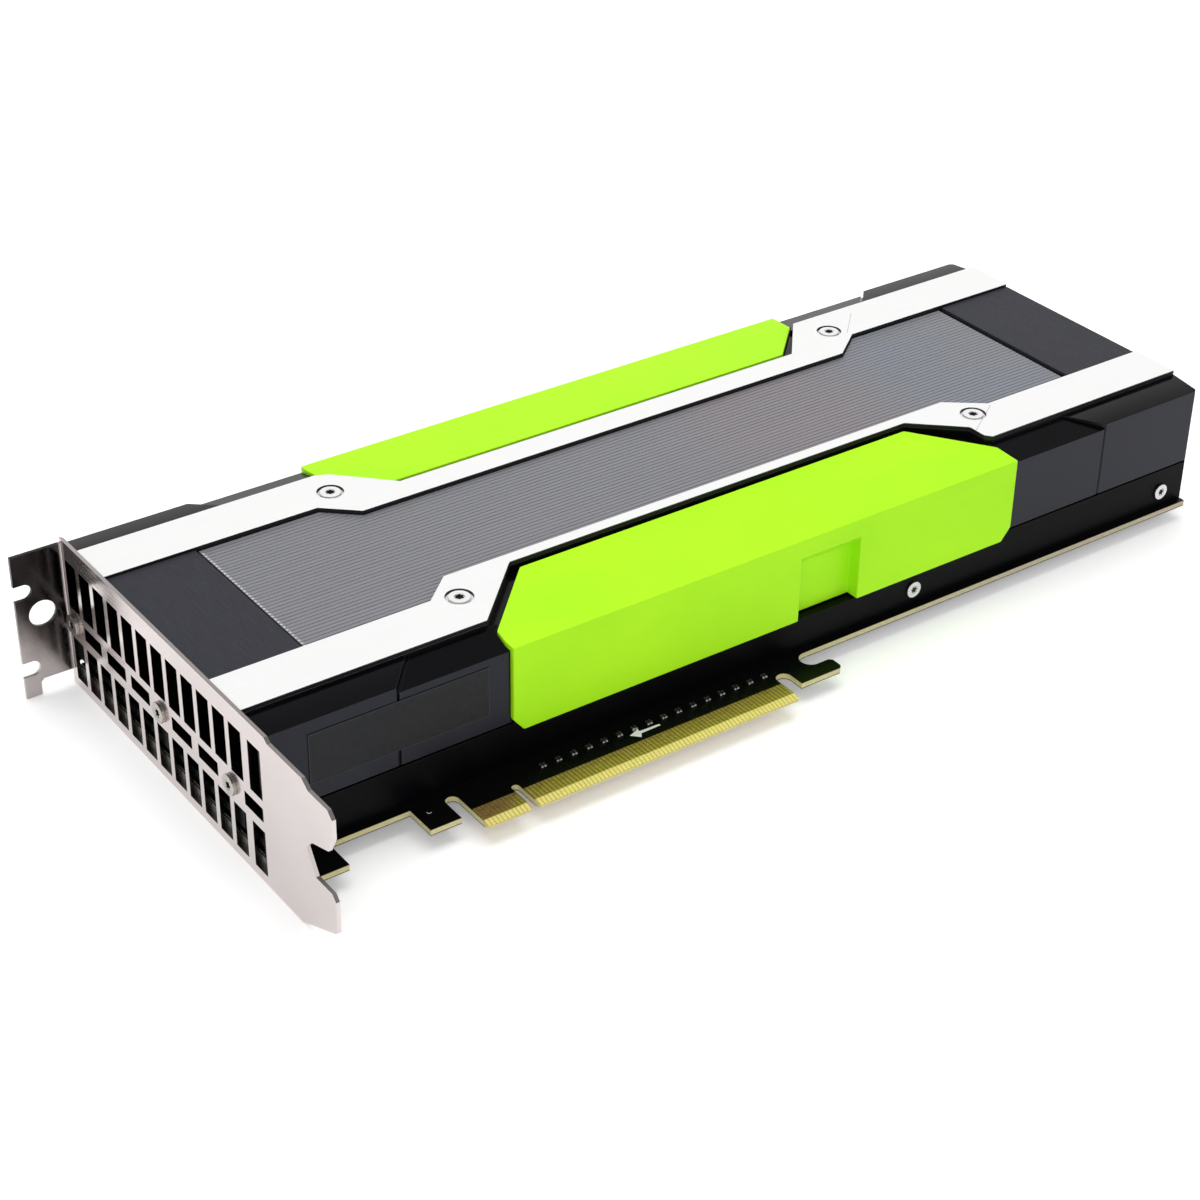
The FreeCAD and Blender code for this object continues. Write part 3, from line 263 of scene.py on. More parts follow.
def brushed_black(name, colour):
    """Dark cover plate with a fine grain brushed across the card and slightly worn edges."""
    g = Graph(name)
    lines = g.noise((5.0, 0.12, 5.0), 3.0, 0.6)
    speck = g.noise((2.6, 2.6, 2.6), 2.0)
    base = g.mix(g.spread(lines, 0.35, 0.65), colour, scaled(colour, 1.5))
    g.set(Base_Color=g.mix(g.worn_edges(), base, PLATE_WORN),
          Roughness=g.swing(speck, 0.42, 0.56), Specular_IOR_Level=0.25)
    g.bump(g.math("ADD", lines, speck), 0.012)
    return g.material


def satin_green(name):
    """Bright green cover, deeper in soft clouds, with a faint satin grain and worn edges."""
    g = Graph(name)
    cloud = g.noise((0.035, 0.05, 0.05), 3.0)
    base = g.mix(g.swing(cloud, 0.0, 0.7), GREEN, GREEN_DEEP)
    g.set(Base_Color=g.mix(g.worn_edges(0.3, 3.0), base, GREEN_WORN))
    fine = g.noise((4.0, 4.0, 4.0), 2.0)
    g.set(Roughness=g.swing(fine, 0.38, 0.5), Specular_IOR_Level=0.15)
    g.bump(fine, 0.008)
    return g.material


def brushed_metal(name, colour, along, roughness=0.32, contrast=0.12, depth=0.006,
                  metallic=1.0, shade=None):
    """Metal with a fine brushed line along one direction, brighter where its edges are worn.

    shade(g) gives the mask of where the metal is painted dark, as shade and reflection.
    """
    g = Graph(name)
    lines = g.noise(along, 4.0, 0.65)
    cloud = g.noise((0.06, 0.06, 0.06), 2.0)
    tone = g.math("MULTIPLY", g.math("ADD", lines, cloud), 0.5)
    base = g.mix(g.spread(tone, 0.35, 0.65), scaled(colour, 1 - contrast), colour)
    bright = tuple(min(c, 0.98) for c in scaled(colour, 1.08))
    base = g.mix(g.worn_edges(0.25, 4.0), base, bright)
    if shade:
        # painted shade and reflection: the metal turns dark under the shade mask
        base = g.mix(shade(g), base, scaled(colour, 0.06))
    g.set(Base_Color=base, Metallic=metallic,
          Roughness=g.swing(lines, roughness - 0.07, roughness + 0.1))
    g.bump(lines, depth)
    return g.material


STRIP_JOINTS = (((147.6, 28.1), (160.3, 36.3)), ((165.4, 95.4), (156.8, 86.9)))  # X, Y of ends


def anodised_strip(name):
    """Pale satin strip: a fine grain along the card, a fine joint line across each strip's rear
    jog, and side faces painted near black as a dark reflection.
    """
    g = Graph(name)
    lines = g.noise((0.05, 3.0, 3.0), 4.0, 0.65)
    face = g.mix(g.spread(lines, 0.35, 0.65), scaled(SILVER, 0.975), SILVER)
    scribed = g.math("ADD", *(g.scribed_line(*ends) for ends in STRIP_JOINTS))
    face = g.mix(g.math("MULTIPLY", scribed, 0.45), face, STRIP_SIDE_REFLECTION_AND_JOINT)
    # painted reflection: faces that are not level are coloured near black
    g.set(Base_Color=g.mix(g.upright(0.35, 0.75), face, STRIP_SIDE_REFLECTION_AND_JOINT),
          Roughness=g.swing(lines, 0.38, 0.5), Metallic=0.15, Specular_IOR_Level=0.3)
    g.bump(lines, 0.003)
    return g.material


ROSE_REFLECTION_SPAN = (122.0, 168.0)      # from where to where along X the fins carry a painted rose reflection
BLUE_REFLECTION_SPAN = (178.0, 214.0)
REFLECTION_DRIFT = 70.0               # how far those places wander


def fin_metal(name):
    """Thin folded sheet: fine lines along the card and faint rose and blue patches of painted
    reflection that drift over it.
    """
    g = Graph(name)
    lines = g.noise((0.02, 3.2, 0.3), 4.0, 0.7)
    tint = g.noise((0.022, 0.03, 0.02), 3.0)
    along = g.math("ADD", g.coordinate("X"), g.math("MULTIPLY", tint, REFLECTION_DRIFT))
    rose = g.between(along, *ROSE_REFLECTION_SPAN, 16.0)
    blue = g.between(along, *BLUE_REFLECTION_SPAN, 14.0)
    # painted reflection: rose and blue patches stand for the fins' iridescent reflections
    base = g.mix(g.math("MULTIPLY", blue, 0.8), g.mix(rose, FIN_METAL, FIN_ROSE_REFLECTION), FIN_BLUE_REFLECTION)
    streaked = g.mix(g.spread(lines, 0.35, 0.7), scaled(FIN_METAL, 0.84), base)
    g.set(Base_Color=streaked, Metallic=0.5, Specular_IOR_Level=0.3,
          Roughness=g.swing(lines, 0.38, 0.52))
    g.bump(lines, 0.02)
    return g.material


BEVEL_FROM_TIPS = (1.9, 2.2)    # distances from the tips between which the bevel ends
BACK_DARK_BAND = 0.22                # depth of the dark band at the bottom of the board's cut edge
# depth of the dark band at the top of the board's cut edge
FRONT_DARK_BAND = 0.12
CORE_FADE = (70.0, 150.0)       # places along X between which the core turns tan
TRACES = 18.0                   # bands of tone in the traces' noise


def printed_board(name):
    """Black solder mask on the faces, bare laminate at the cut edges and among the contacts."""
    g = Graph(name)
    traces = g.noise((0.9, 0.06, 1.0), 2.0, 0.4)
    routed = g.between(g.math("FRACT", g.math("MULTIPLY", traces, TRACES)), 0.35, 0.6, 0.08)
    mask = g.mix(g.math("MULTIPLY", routed, 0.5), BOARD_MASK, scaled(BOARD_MASK, 2.1))
    along, inward = g.coordinate("X"), g.coordinate("Y")
    among = g.math("MULTIPLY", g.between(along, contact_low.x - 0.5, contact_high.x + 0.5),
                   g.spread(inward, contact_high.y, contact_high.y + 0.15, 1.0, 0.0))
    tip = g.spread(inward, *(contact_low.y + y for y in BEVEL_FROM_TIPS), 1.0, 0.0)
    mask = g.mix(among, mask, g.mix(tip, BOARD_BARE, BEVEL_BARE))
    inside = g.between(g.coordinate("Z"), board_low.z + BACK_DARK_BAND, board_high.z - FRONT_DARK_BAND)
    fibres = g.spread(g.noise((0.7, 0.7, 9.0)), 0.25, 0.6, 0.75, 1.0)
    layers = g.math("MULTIPLY", inside, fibres)
    core = g.mix(g.spread(along, *CORE_FADE), BOARD_CORE, BOARD_CORE_TAN)
    laminate = g.mix(layers, BOARD_CORE_DARK, core)
    cut = g.upright(0.88, 0.95)
    g.set(Base_Color=g.mix(cut, mask, laminate),
          Roughness=g.spread(cut, 0.0, 1.0, 0.3, 0.62), Specular_IOR_Level=0.15)
    g.bump(g.math("ADD", routed, g.math("MULTIPLY", g.noise((6, 6, 6)), 0.3)), 0.012)
    return g.material


def gold_plating(name):
    """Hard gold: bright on the bevel, a little browner and lightly rubbed on the flats."""
    g = Graph(name)
    rub = g.noise((0.35, 3.0, 1.0), 3.0, 0.6)
    base = g.mix(g.spread(rub, 0.35, 0.7), GOLD_DARK, GOLD)
    tip = g.spread(g.coordinate("Y"), *BEVEL_FROM_TIPS, 1.0, 0.0)
    g.set(Base_Color=g.mix(tip, base, GOLD_BEVEL), Metallic=g.spread(tip, 0.0, 1.0, 0.75, 0.3),
          Roughness=g.swing(rub, 0.24, 0.38), Specular_IOR_Level=0.3)
    g.bump(rub, 0.004)
    return g.material


def plain_speckled(name, colour, roughness=0.55, metallic=0.0, spread=0.25, scale=1.6,
                   depth=0.01, gloss=0.5):
    """Small part: a base colour with a fine speckle in tone, gloss and height."""
    g = Graph(name)
    speck = g.noise((scale, scale, scale), 3.0)
    g.set(Base_Color=g.mix(g.swing(speck), scaled(colour, 1 - spread), colour),
          Metallic=metallic, Roughness=g.swing(speck, roughness - 0.08, roughness + 0.08),
          Specular_IOR_Level=gloss)
    g.bump(speck, depth)
    return g.material


TONGUE_END = (10.0, 13.0)       # places along Y between which painted shade on the cut-outs' walls sets in
FLANGE_SLANT = 0.8              # of X against Z, in the slanted edge of the flange's painted dark reflection
FLANGE_FADE = (-46.0, -30.0)    # slanted heights between which the flange's painted dark reflection grows
FLANGE_CLOUD = 8.0              # how far that edge wanders


def bracket_shade_and_reflection(g):
    """1 where dark is painted on the bracket: shade on the cut-outs' walls, and a dark reflection
    on the flange, most near its bend.
    """
    # painted shade on the cut-outs' walls
    walls = g.spread(g.facing("Y"), 0.6, 0.9)
    on_face = g.spread(g.coordinate("X"), FACE_X - 0.6, FACE_X - 0.2)
    past_tongue = g.spread(g.coordinate("Y"), *TONGUE_END)
    walls = g.math("MULTIPLY", g.math("MULTIPLY", walls, on_face), past_tongue)
    # painted reflection: the flange darkens towards its bend and its top
    slant = g.math("ADD", g.coordinate("Z"), g.math("MULTIPLY", g.coordinate("X"), FLANGE_SLANT))
    cloud = g.math("MULTIPLY", g.noise((0.25, 0.25, 0.25), 2.0), FLANGE_CLOUD)
    bend = g.spread(g.math("ADD", slant, cloud), *FLANGE_FADE, 0.3, 0.97)
    flange = g.math("SUBTRACT", 1.0, on_face)
    return g.math("MAXIMUM", g.math("MULTIPLY", walls, 0.9), g.math("MULTIPLY", bend, flange))


EVEN = (2.0, 2.0, 2.0)          # waves a millimetre of a metal with no brushed direction
ALONG = (0.05, 3.0, 3.0)
ACROSS = (3.0, 0.05, 3.0)

materials = {
    "shroud": moulded_black("textured_black", BLACK_SHROUD, SHROUD_SIDE),
    "shroud_body": moulded_black("textured_black_body", BLACK_SHROUD, SHROUD_SIDE,
                                 seam_shade_reach=MIDDLE_Y - shroud_low.y - 0.15),
    "casting": moulded_black("painted_casting", BLACK_CASTING, CASTING_SIDE, grain=2.0,
                             grain_depth=0.02, polish=0.3, roughness=0.42, gloss=0.06,
                             edge=0.012),
    "plate": brushed_black("grained_plate", PLATE_BLACK),
    "green": satin_green("satin_green"),
    "silver": anodised_strip("anodised_silver"),
    "bracket": brushed_metal("plated_bracket", BRACKET_METAL, ACROSS, roughness=0.17,
                             contrast=0.08, depth=0.002, shade=bracket_shade_and_reflection),
    "back_plate": brushed_metal("plated_back_plate", BRACKET_METAL, ALONG, roughness=0.26,
                                contrast=0.08, depth=0.003),
    "bracket_screw": brushed_metal("plated_screw", SCREW_WARM, EVEN, roughness=0.25,
                                   contrast=0.15, depth=0.004),
    "trim_screw": brushed_metal("pale_screw", SCREW_PALE, EVEN, roughness=0.4, contrast=0.06,
                                depth=0.003, metallic=0.3),
    # painted shade: near black inside the screws' drive sockets
    "socket_shade": plain_speckled("socket_painted_shade", (0.012, 0.011, 0.010), 0.6, spread=0.3, scale=3.0),
    "fins": fin_metal("folded_fins"),
    "board": printed_board("board_laminate"),
    "gold": gold_plating("hard_gold"),
    "screw": brushed_metal("screw_steel", SCREW_METAL, EVEN, roughness=0.28, contrast=0.15,
                           depth=0.004),
    "black_screw": plain_speckled("black_oxide", SCREW_BLACK, 0.36, metallic=0.8),
    "label": plain_speckled("label_film", LABEL_FILM, 0.45, spread=0.15, scale=0.7,
                            depth=0.006, gloss=0.24),
    "copper": brushed_metal("bare_copper", COPPER, ALONG, roughness=0.3, contrast=0.15,
                            depth=0.005),
    "chip": plain_speckled("moulded_chip", (0.021, 0.021, 0.022), 0.55),
    "ferrite": plain_speckled("pressed_ferrite", (0.10, 0.10, 0.105), 0.62, metallic=0.1,
                              spread=0.3, scale=2.4, depth=0.03),
    "ceramic": plain_speckled("fired_ceramic", (0.62, 0.55, 0.42), 0.5),
    "dark_ceramic": plain_speckled("dark_ceramic", (0.035, 0.026, 0.02), 0.45, spread=0.3),
    "pad": plain_speckled("thermal_pad", (0.32, 0.38, 0.46), 0.8, spread=0.12, scale=2.0,
                          depth=0.03),
    "paste": plain_speckled("thermal_paste", (0.42, 0.42, 0.41), 0.45),
    "package": plain_speckled("package_laminate", (0.03, 0.12, 0.05), 0.4),
    "silicon": plain_speckled("polished_silicon", (0.08, 0.08, 0.10), 0.12, metallic=0.6,
                              spread=0.1, scale=0.4, depth=0.001),
    "can": brushed_metal("drawn_can", (0.78, 0.78, 0.78), (2.0, 2.0, 0.1), roughness=0.3),
    "nylon": plain_speckled("socket_nylon", (0.012, 0.012, 0.013), 0.5, spread=0.3, scale=2.2,
                            depth=0.02),
    "tin": plain_speckled("tin_plate", (0.78, 0.76, 0.72), 0.28, metallic=1.0, spread=0.1),
    "insulator": plain_speckled("insulator_film", (0.012, 0.012, 0.012), 0.3),
    # painted highlight: pale colour for the glint along the fins' cut front edge
    "painted_glint": plain_speckled("painted_fin_glint", (0.80, 0.80, 0.80), 0.35, metallic=0.6,
                                  spread=0.2, scale=2.0),
    "label_rim": plain_speckled("label_rim", LABEL_RIM, 0.4, spread=0.2, scale=1.0,
                                depth=0.004, gloss=0.3),
    "ink": plain_speckled("legend_ink", SILKSCREEN, 0.55, spread=0.06, scale=4.0, depth=0.004),
    "solder": plain_speckled("solder_fillet", SOLDER, 0.25, metallic=1.0, spread=0.12,
                             scale=1.2, depth=0.004),
}

NODE_LOOKS = {
    "circuit_board": "board", "edge_contacts_top": "gold", "edge_contacts_bottom": "gold",
    "mounting_bracket": "bracket", "bracket_screws": "bracket_screw", "base_frame": "casting",
    "base_frame_screws": "black_screw", "upper_shroud": "shroud_body",
    "shroud_side_screws": "screw", "near_side_panel": "shroud", "far_side_panel": "shroud",
    "near_accent_cover": "green", "far_accent_cover": "green", "near_trim_strip": "silver",
    "far_trim_strip": "silver", "trim_screws": "trim_screw", "front_top_plate": "plate",
    "rear_top_plate": "plate", "side_label": "label", "fin_stack": "fins",
    "vapour_chamber": "copper", "thermal_paste": "paste", "processor_package": "package",
    "package_stiffener": "screw", "processor_die": "silicon", "memory_chips": "chip",
    "memory_thermal_pads": "pad", "retention_plate": "back_plate",
    # vent_seal is a black film behind the lower vents that stands in for the shade under the
    # board
    "retention_insulator": "insulator", "vent_seal": "insulator",
    "retention_screws": "screw", "back_capacitors": "ceramic",
    "power_inductors": "ferrite", "power_stages": "chip", "power_stage_pad": "pad",
    "output_capacitors": "chip", "input_capacitors": "can", "power_connector": "nylon",
    "power_connector_pins": "tin", "coupling_capacitors": "dark_ceramic",
    "firmware_chip": "chip", "clock_crystal": "can", "voltage_controller": "chip",
}
EDGE_ROUNDING = {               # width of the rounding
    "base_frame": 0.25, "upper_shroud": 0.25, "near_side_panel": 0.25, "far_side_panel": 0.25,
    "near_accent_cover": 0.35, "far_accent_cover": 0.35, "near_trim_strip": 0.2,
    "far_trim_strip": 0.2, "front_top_plate": 0.2, "rear_top_plate": 0.2,
    "mounting_bracket": 0.12, "trim_screws": 0.15, "shroud_side_screws": 0.12,
    "bracket_screws": 0.15, "power_connector": 0.2, "retention_plate": 0.15,
    "retention_screws": 0.2, "base_frame_screws": 0.2,
}


SAME_PLANE = math.radians(0.6)  # faces that meet at less than this are joined
ROUNDED = math.radians(28)      # edges that turn by more than this are rounded
SPLIT = math.radians(24)        # shading breaks where faces turn by more than this


def round_edges(node, width):
    """Welds a CAD node's split faces and rounds its sharp edges, without touching its mesh."""
    weld = node.modifiers.new("weld", "WELD")
    weld.merge_threshold = WELD_GAP * MM
    joined = node.modifiers.new("joined_planes", "DECIMATE")
    joined.decimate_type = "DISSOLVE"
    joined.angle_limit = SAME_PLANE
    bevel = node.modifiers.new("rounded_edges", "BEVEL")
    bevel.width = width * MM
    bevel.segments = 2
    bevel.limit_method = "ANGLE"
    bevel.angle_limit = ROUNDED
    bevel.use_clamp_overlap = True
    split = node.modifiers.new("flat_faces", "EDGE_SPLIT")
    split.split_angle = SPLIT
    node.modifiers.new("even_shading", "WEIGHTED_NORMAL")


for name, look in NODE_LOOKS.items():
    node = nodes[name]
    node.data.materials.clear()
    node.data.materials.append(materials[look])
    if name in EDGE_ROUNDING:
        round_edges(node, EDGE_ROUNDING[name])


# ---------------------------------------------------------------- small pieces
def islands(name):
    """Lowest and highest corners, in millimetres, of each loose piece of a CAD node."""
    shape = bmesh.new()
    shape.from_mesh(nodes[name].data)
    bmesh.ops.remove_doubles(shape, verts=shape.verts, dist=WELD_GAP * MM)
    left = set(shape.verts)
    boxes = []
    while left:
        group = {left.pop()}
        rim = list(group)
        while rim:
            vertex = rim.pop()
            for edge in vertex.link_edges:
                other = edge.other_vert(vertex)
                if other in left:
                    left.discard(other)
                    group.add(other)
                    rim.append(other)
        places = [v.co / MM for v in group]
        boxes.append((Vector([min(p[i] for p in places) for i in range(3)]),
                      Vector([max(p[i] for p in places) for i in range(3)])))
    shape.free()
    return sorted(boxes, key=lambda pair: tuple(round(c, 2) for c in pair[0]))


SAME_CORNER = 0.0005            # corners of a piece that are closer than this are one
DOME_SHARE = 0.92               # of a quarter turn, where a mound ends in a small flat


class Piece:
    """A mesh piece gathered from many small forms, in millimetres.

    looks names its materials, and a form's look is one of them by number.
    """

    def __init__(self, name, looks, slot=None):
        self.name = name
        self.looks = looks
        self.slot = slot
        self.mesh = bmesh.new()

    def face(self, corners, look=0, smooth=False):
        vertices = [self.mesh.verts.new(Vector(c) * MM) for c in corners]
        face = self.mesh.faces.new(vertices)
        face.material_index = look
        face.smooth = smooth

    def block(self, low, high, look=0, top_inset=0.0):
        """An upright block whose top is a little smaller than its foot, like a moulded part."""
        x0, y0, z0 = low
        x1, y1, z1 = high
        inset = top_inset
        foot = [(x0, y0, z0), (x1, y0, z0), (x1, y1, z0), (x0, y1, z0)]
        top = [(x0 + inset, y0 + inset, z1), (x1 - inset, y0 + inset, z1),
               (x1 - inset, y1 - inset, z1), (x0 + inset, y1 - inset, z1)]
        self.hull(foot, top, look)

    def hull(self, foot, top, look=0):
        """Closed form between two rings of as many corners each."""
        count = len(foot)
        self.face(list(reversed(foot)), look)
        self.face(top, look)
        for i in range(count):
            j = (i + 1) % count
            self.face([foot[i], foot[j], top[j], top[i]], look)

    def dome(self, centre, radius, height, direction=1, sides=10, rings=3):
        """Solder mound over a foot at centre, upwards or, with direction -1, downwards."""
        x, y, z = centre
        circles = []
        for k in range(rings + 1):
            turn = math.pi / 2 * k / rings * DOME_SHARE
            r, h = radius * math.cos(turn), height * math.sin(turn)
            circles.append([(x + r * math.cos(2 * math.pi * i / sides),
                             y + r * math.sin(2 * math.pi * i / sides), z + direction * h)
                            for i in range(sides)])
        for low, high in zip(circles, circles[1:]):
            for i in range(sides):
                j = (i + 1) % sides
                corners = [low[i], low[j], high[j], high[i]]
                self.face(corners if direction > 0 else corners[::-1], smooth=True)
        cap = circles[-1] if direction > 0 else circles[-1][::-1]
        self.face(cap, smooth=True)

    def finish(self):
        """Joins the forms' shared corners and hands the piece over on the card's one body."""
        bmesh.ops.remove_doubles(self.mesh, verts=self.mesh.verts, dist=SAME_CORNER * MM)
        bmesh.ops.recalc_face_normals(self.mesh, faces=self.mesh.faces)
        data = bpy.data.meshes.new(self.name)
        self.mesh.to_mesh(data)
        self.mesh.free()
        for look in self.looks:
            data.materials.append(materials[look])
        piece = bpy.data.objects.new(self.name, data)
        bpy.context.scene.collection.objects.link(piece)
        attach(piece, "root")


def ring_of_points(centre, axis, level, radius_at, steps):
    """Points round an axis at one level, each at the radius that its turn gives."""
    across = [i for i in range(3) if i != axis]
    points = []
    for k in range(steps):
        turn = 2 * math.pi * k / steps
        point = [0.0, 0.0, 0.0]
        point[axis] = level
        point[across[0]] = centre[across[0]] + radius_at(turn) * math.cos(turn)
        point[across[1]] = centre[across[1]] + radius_at(turn) * math.sin(turn)
        points.append(tuple(point))
    return points


SOCKET_SHARE = 0.46            # of the screw head's radius, as the CAD heads are bored
SOCKET_DEPTH_SHARE = 0.7       # of the head's height
SCREW_HEADS = (                # node, axis, end that the head is at (0: outwards), its height
    ("trim_screws", 2, 1, 0.8),
    ("shroud_side_screws", 1, 0, 0.6),
    ("bracket_screws", 0, -1, 0.9),
    ("base_frame_screws", 2, -1, 1.3),
    ("retention_screws", 2, -1, 1.3),
)
DRIVE_STEPS = 36               # corners of a drive's outline
DRIVE_LOBES = 6
LOBE_DEPTH = 0.16              # of the drive's radius
LIP_SHARE = 0.96               # of the bore's radius
RIM_DEPTH = 0.12               # below the top of the head
SOCKET_GAP = 0.03              # from the bore's wall and floor


def lobed(radius, turn):
    return radius * (1 - LOBE_DEPTH + LOBE_DEPTH * math.cos(DRIVE_LOBES * turn))


def drive_recesses():
    """Six-lobed drive in each screw head: a lobed collar in the bore, with its lobed walls and
    floor painted near black as the socket's shade.
    """
    piece = Piece("screw_drive_recesses", ["screw", "socket_shade"], "screw_steel")
    for node, axis, end, head_height in SCREW_HEADS:
        for low, high in islands(node):
            centre = (low + high) / 2
            side = end if end else (-1 if centre[axis] < MIDDLE_Y else 1)
            top = high[axis] if side > 0 else low[axis]
            wide = 1 if axis == 0 else 0
            bore = (high[wide] - low[wide]) / 2 * SOCKET_SHARE - SOCKET_GAP
            floor = top - side * (head_height * SOCKET_DEPTH_SHARE - SOCKET_GAP)
            rim = top - side * RIM_DEPTH
            outer = ring_of_points(centre, axis, rim, lambda turn: bore, DRIVE_STEPS)
            lip, deep = (ring_of_points(centre, axis, level,
                                        lambda turn: lobed(bore * LIP_SHARE, turn), DRIVE_STEPS)
                         for level in (rim, floor))
            for k in range(DRIVE_STEPS):
                j = (k + 1) % DRIVE_STEPS
                piece.face([outer[k], outer[j], lip[j], lip[k]], 0)
                # painted shade: the lobes' walls and the floor take the near-black shade colour
                piece.face([lip[k], lip[j], deep[j], deep[k]], 1)
            piece.face(deep, 1)
    piece.finish()


END_CAPS = (                   # node, axis of its length, a cap's length and how far it is proud
    ("coupling_capacitors", 1, 0.24, 0.025),
    ("back_capacitors", 0, 0.55, 0.04),
)
CAP_LIFT = 0.01                # from the board
CAP_INSET = 0.02               # how much smaller a cap's top is than its foot
FILLET_LIFT = 0.005            # from the board
FILLET_REACH = 0.8             # of the cap's length
FILLET_HEIGHT = 0.9            # of the cap's length


def capacitor_ends():
    """Plated ends wrapped over both ends of each small ceramic capacitor, with their fillets."""
    piece = Piece("capacitor_end_caps", ["tin", "solder"], "screw_steel")
    for node, axis, length, proud in END_CAPS:
        other = 1 - axis
        for low, high in islands(node):
            on_top = low.z >= -CAP_LIFT
            up = 1 if on_top else -1
            foot_z = low.z + FILLET_LIFT if on_top else high.z - FILLET_LIFT
            for end in (-1, 1):
                a, b = Vector(low), Vector(high)
                for i in range(3):
                    a[i] -= proud
                    b[i] += proud
                if on_top:
                    a.z = max(a.z, low.z + CAP_LIFT)
                else:
                    b.z = min(b.z, high.z - CAP_LIFT)
                if end < 0:
                    b[axis] = low[axis] + length
                else:
                    a[axis] = high[axis] - length
                piece.block(a, b, 0, CAP_INSET)
                tip = low[axis] - proud if end < 0 else high[axis] + proud
                toe = tip + end * length * FILLET_REACH
                wedge = []
                for side in (a[other], b[other]):
                    ring = []
                    for along, z in ((tip, foot_z), (toe, foot_z),
                                     (tip, foot_z + up * length * FILLET_HEIGHT)):
                        point = [0.0, 0.0, z]
                        point[axis] = along
                        point[other] = side
                        ring.append(tuple(point))
                    wedge.append(ring)
                piece.hull(*wedge, 1)
    piece.finish()


INK = 0.012                    # height of printed marks off the board
ARROW = ((31.4, 9.6), (33.3, 7.7), (34.1, 8.9), (39.5, 9.0), (39.5, 9.6), (34.2, 9.8),
         (34.3, 10.6))         # X, Y
TICKS = ((-20.5, 10.6), (-34.0, 9.2), (84.0, 11.6))
TICK_SIZE = (0.9, 0.7)
FRONT_LINE = 0.14              # widths of printed lines
SIDE_LINE = 0.12
RING_LINE = 0.14
RING_SIDES = 24


def ink_line(piece, start, end, width, z=INK, face_up=True):
    """A printed line between two (X, Y) points."""
    run, rise = end[0] - start[0], end[1] - start[1]
    length = math.hypot(run, rise)
    nx, ny = -rise / length * width / 2, run / length * width / 2
    corners = [(start[0] - nx, start[1] - ny, z), (end[0] - nx, end[1] - ny, z),
               (end[0] + nx, end[1] + ny, z), (start[0] + nx, start[1] + ny, z)]
    piece.face(corners if face_up else corners[::-1])


def board_legend():
    """Printed arrow beside the connector and plain corner ticks along the visible board."""
    piece = Piece("board_legend", ["ink"])
    piece.face([(x, y, INK) for x, y in ARROW])
    for x, y in TICKS:
        ink_line(piece, (x, y), (x + TICK_SIZE[0], y), FRONT_LINE)
        ink_line(piece, (x, y), (x, y + TICK_SIZE[1]), FRONT_LINE)
    piece.finish()


def back_legend():
    """Lines beside the capacitors and rings round the screws, printed on the board's back."""
    piece = Piece("back_legend", ["ink"])
    z = board_low.z - INK
    aside, past, around = 0.9, 0.35, 0.7
    for low, high in islands("back_capacitors"):
        for x in (low.x - aside, high.x + aside):
            ink_line(piece, (x, low.y - past), (x, high.y + past), SIDE_LINE, z, False)
    for low, high in islands("base_frame_screws"):
        x, y = (low.x + high.x) / 2, (low.y + high.y) / 2
        r = (high.x - low.x) / 2 + around
        turns = [k * math.pi / (RING_SIDES / 2) for k in range(RING_SIDES + 1)]
        ring = [(x + r * math.cos(turn), y + r * math.sin(turn)) for turn in turns]
        for a, b in zip(ring, ring[1:]):
            ink_line(piece, a, b, RING_LINE, z, False)
    piece.finish()


BACK_LIFT = 0.005              # of the back's small parts, from the board
LEAD_OFFSET = 1.25             # of an input capacitor's leads, from its middle
LEADED_PIN = 3.0               # a connector pin with a tail in the board is longer than this
LAND_FIRST = (112.0, 30.0)     # X, Y
LAND_PITCH = 2.3
LAND_GRID = (26, 3)
LAND_SHARE = 0.78              # of the grid's places that have a land
SMALL_PARTS = (                # X and Y of the first part, columns, rows
    (-30.0, 24.0, 9, 3), (-32.0, 70.0, 8, 4), (118.0, 46.0, 14, 3), (118.0, 66.0, 14, 2),
    (122.0, 84.0, 12, 3), (22.0, 20.5, 12, 2), (84.0, 20.5, 8, 2), (172.0, 28.0, 7, 4),
)
SMALL_PART_PITCH = (2.9, 3.1)
SMALL_PARTS_LEFT_OUT = 0.14    # of the groups' places


def back_joints():
    """Solder mounds of the leaded parts and rows of bare test lands on the board's back."""
    piece = Piece("back_solder_joints", ["solder"], "screw_steel")
    z = board_low.z - BACK_LIFT
    for low, high in islands("power_connector_pins"):
        if high.x - low.x > LEADED_PIN:
            x = max(low.x - 1.2, board_low.x)
            piece.dome((x, (low.y + high.y) / 2, z), radius=1.0, height=0.9, direction=-1)
    for low, high in islands("input_capacitors"):
        x, y = (low.x + high.x) / 2, (low.y + high.y) / 2
        for side in (-LEAD_OFFSET, LEAD_OFFSET):
            piece.dome((x, y + side, z), radius=0.75, height=0.6, direction=-1)
    lands = random.Random(7)
    for column in range(LAND_GRID[0]):
        for row in range(LAND_GRID[1]):
            x = LAND_FIRST[0] + column * LAND_PITCH
            y = LAND_FIRST[1] + row * LAND_PITCH
            if lands.random() < LAND_SHARE:
                piece.dome((x, y, z), radius=0.42, height=0.05, direction=-1, sides=8, rings=1)
    piece.finish()


def back_small_parts():
    """Small ceramic parts in tidy groups on the board's back, each with plated ends."""
    piece = Piece("back_small_parts", ["ceramic", "tin"], "ceramic_tan")
    chance = random.Random(11)
    for first_x, first_y, columns, rows in SMALL_PARTS:
        for column in range(columns):
            for row in range(rows):
                if chance.random() < SMALL_PARTS_LEFT_OUT:
                    continue
                small_part(piece, first_x + column * SMALL_PART_PITCH[0],
                           first_y + row * SMALL_PART_PITCH[1], board_low.z - BACK_LIFT)
    piece.finish()


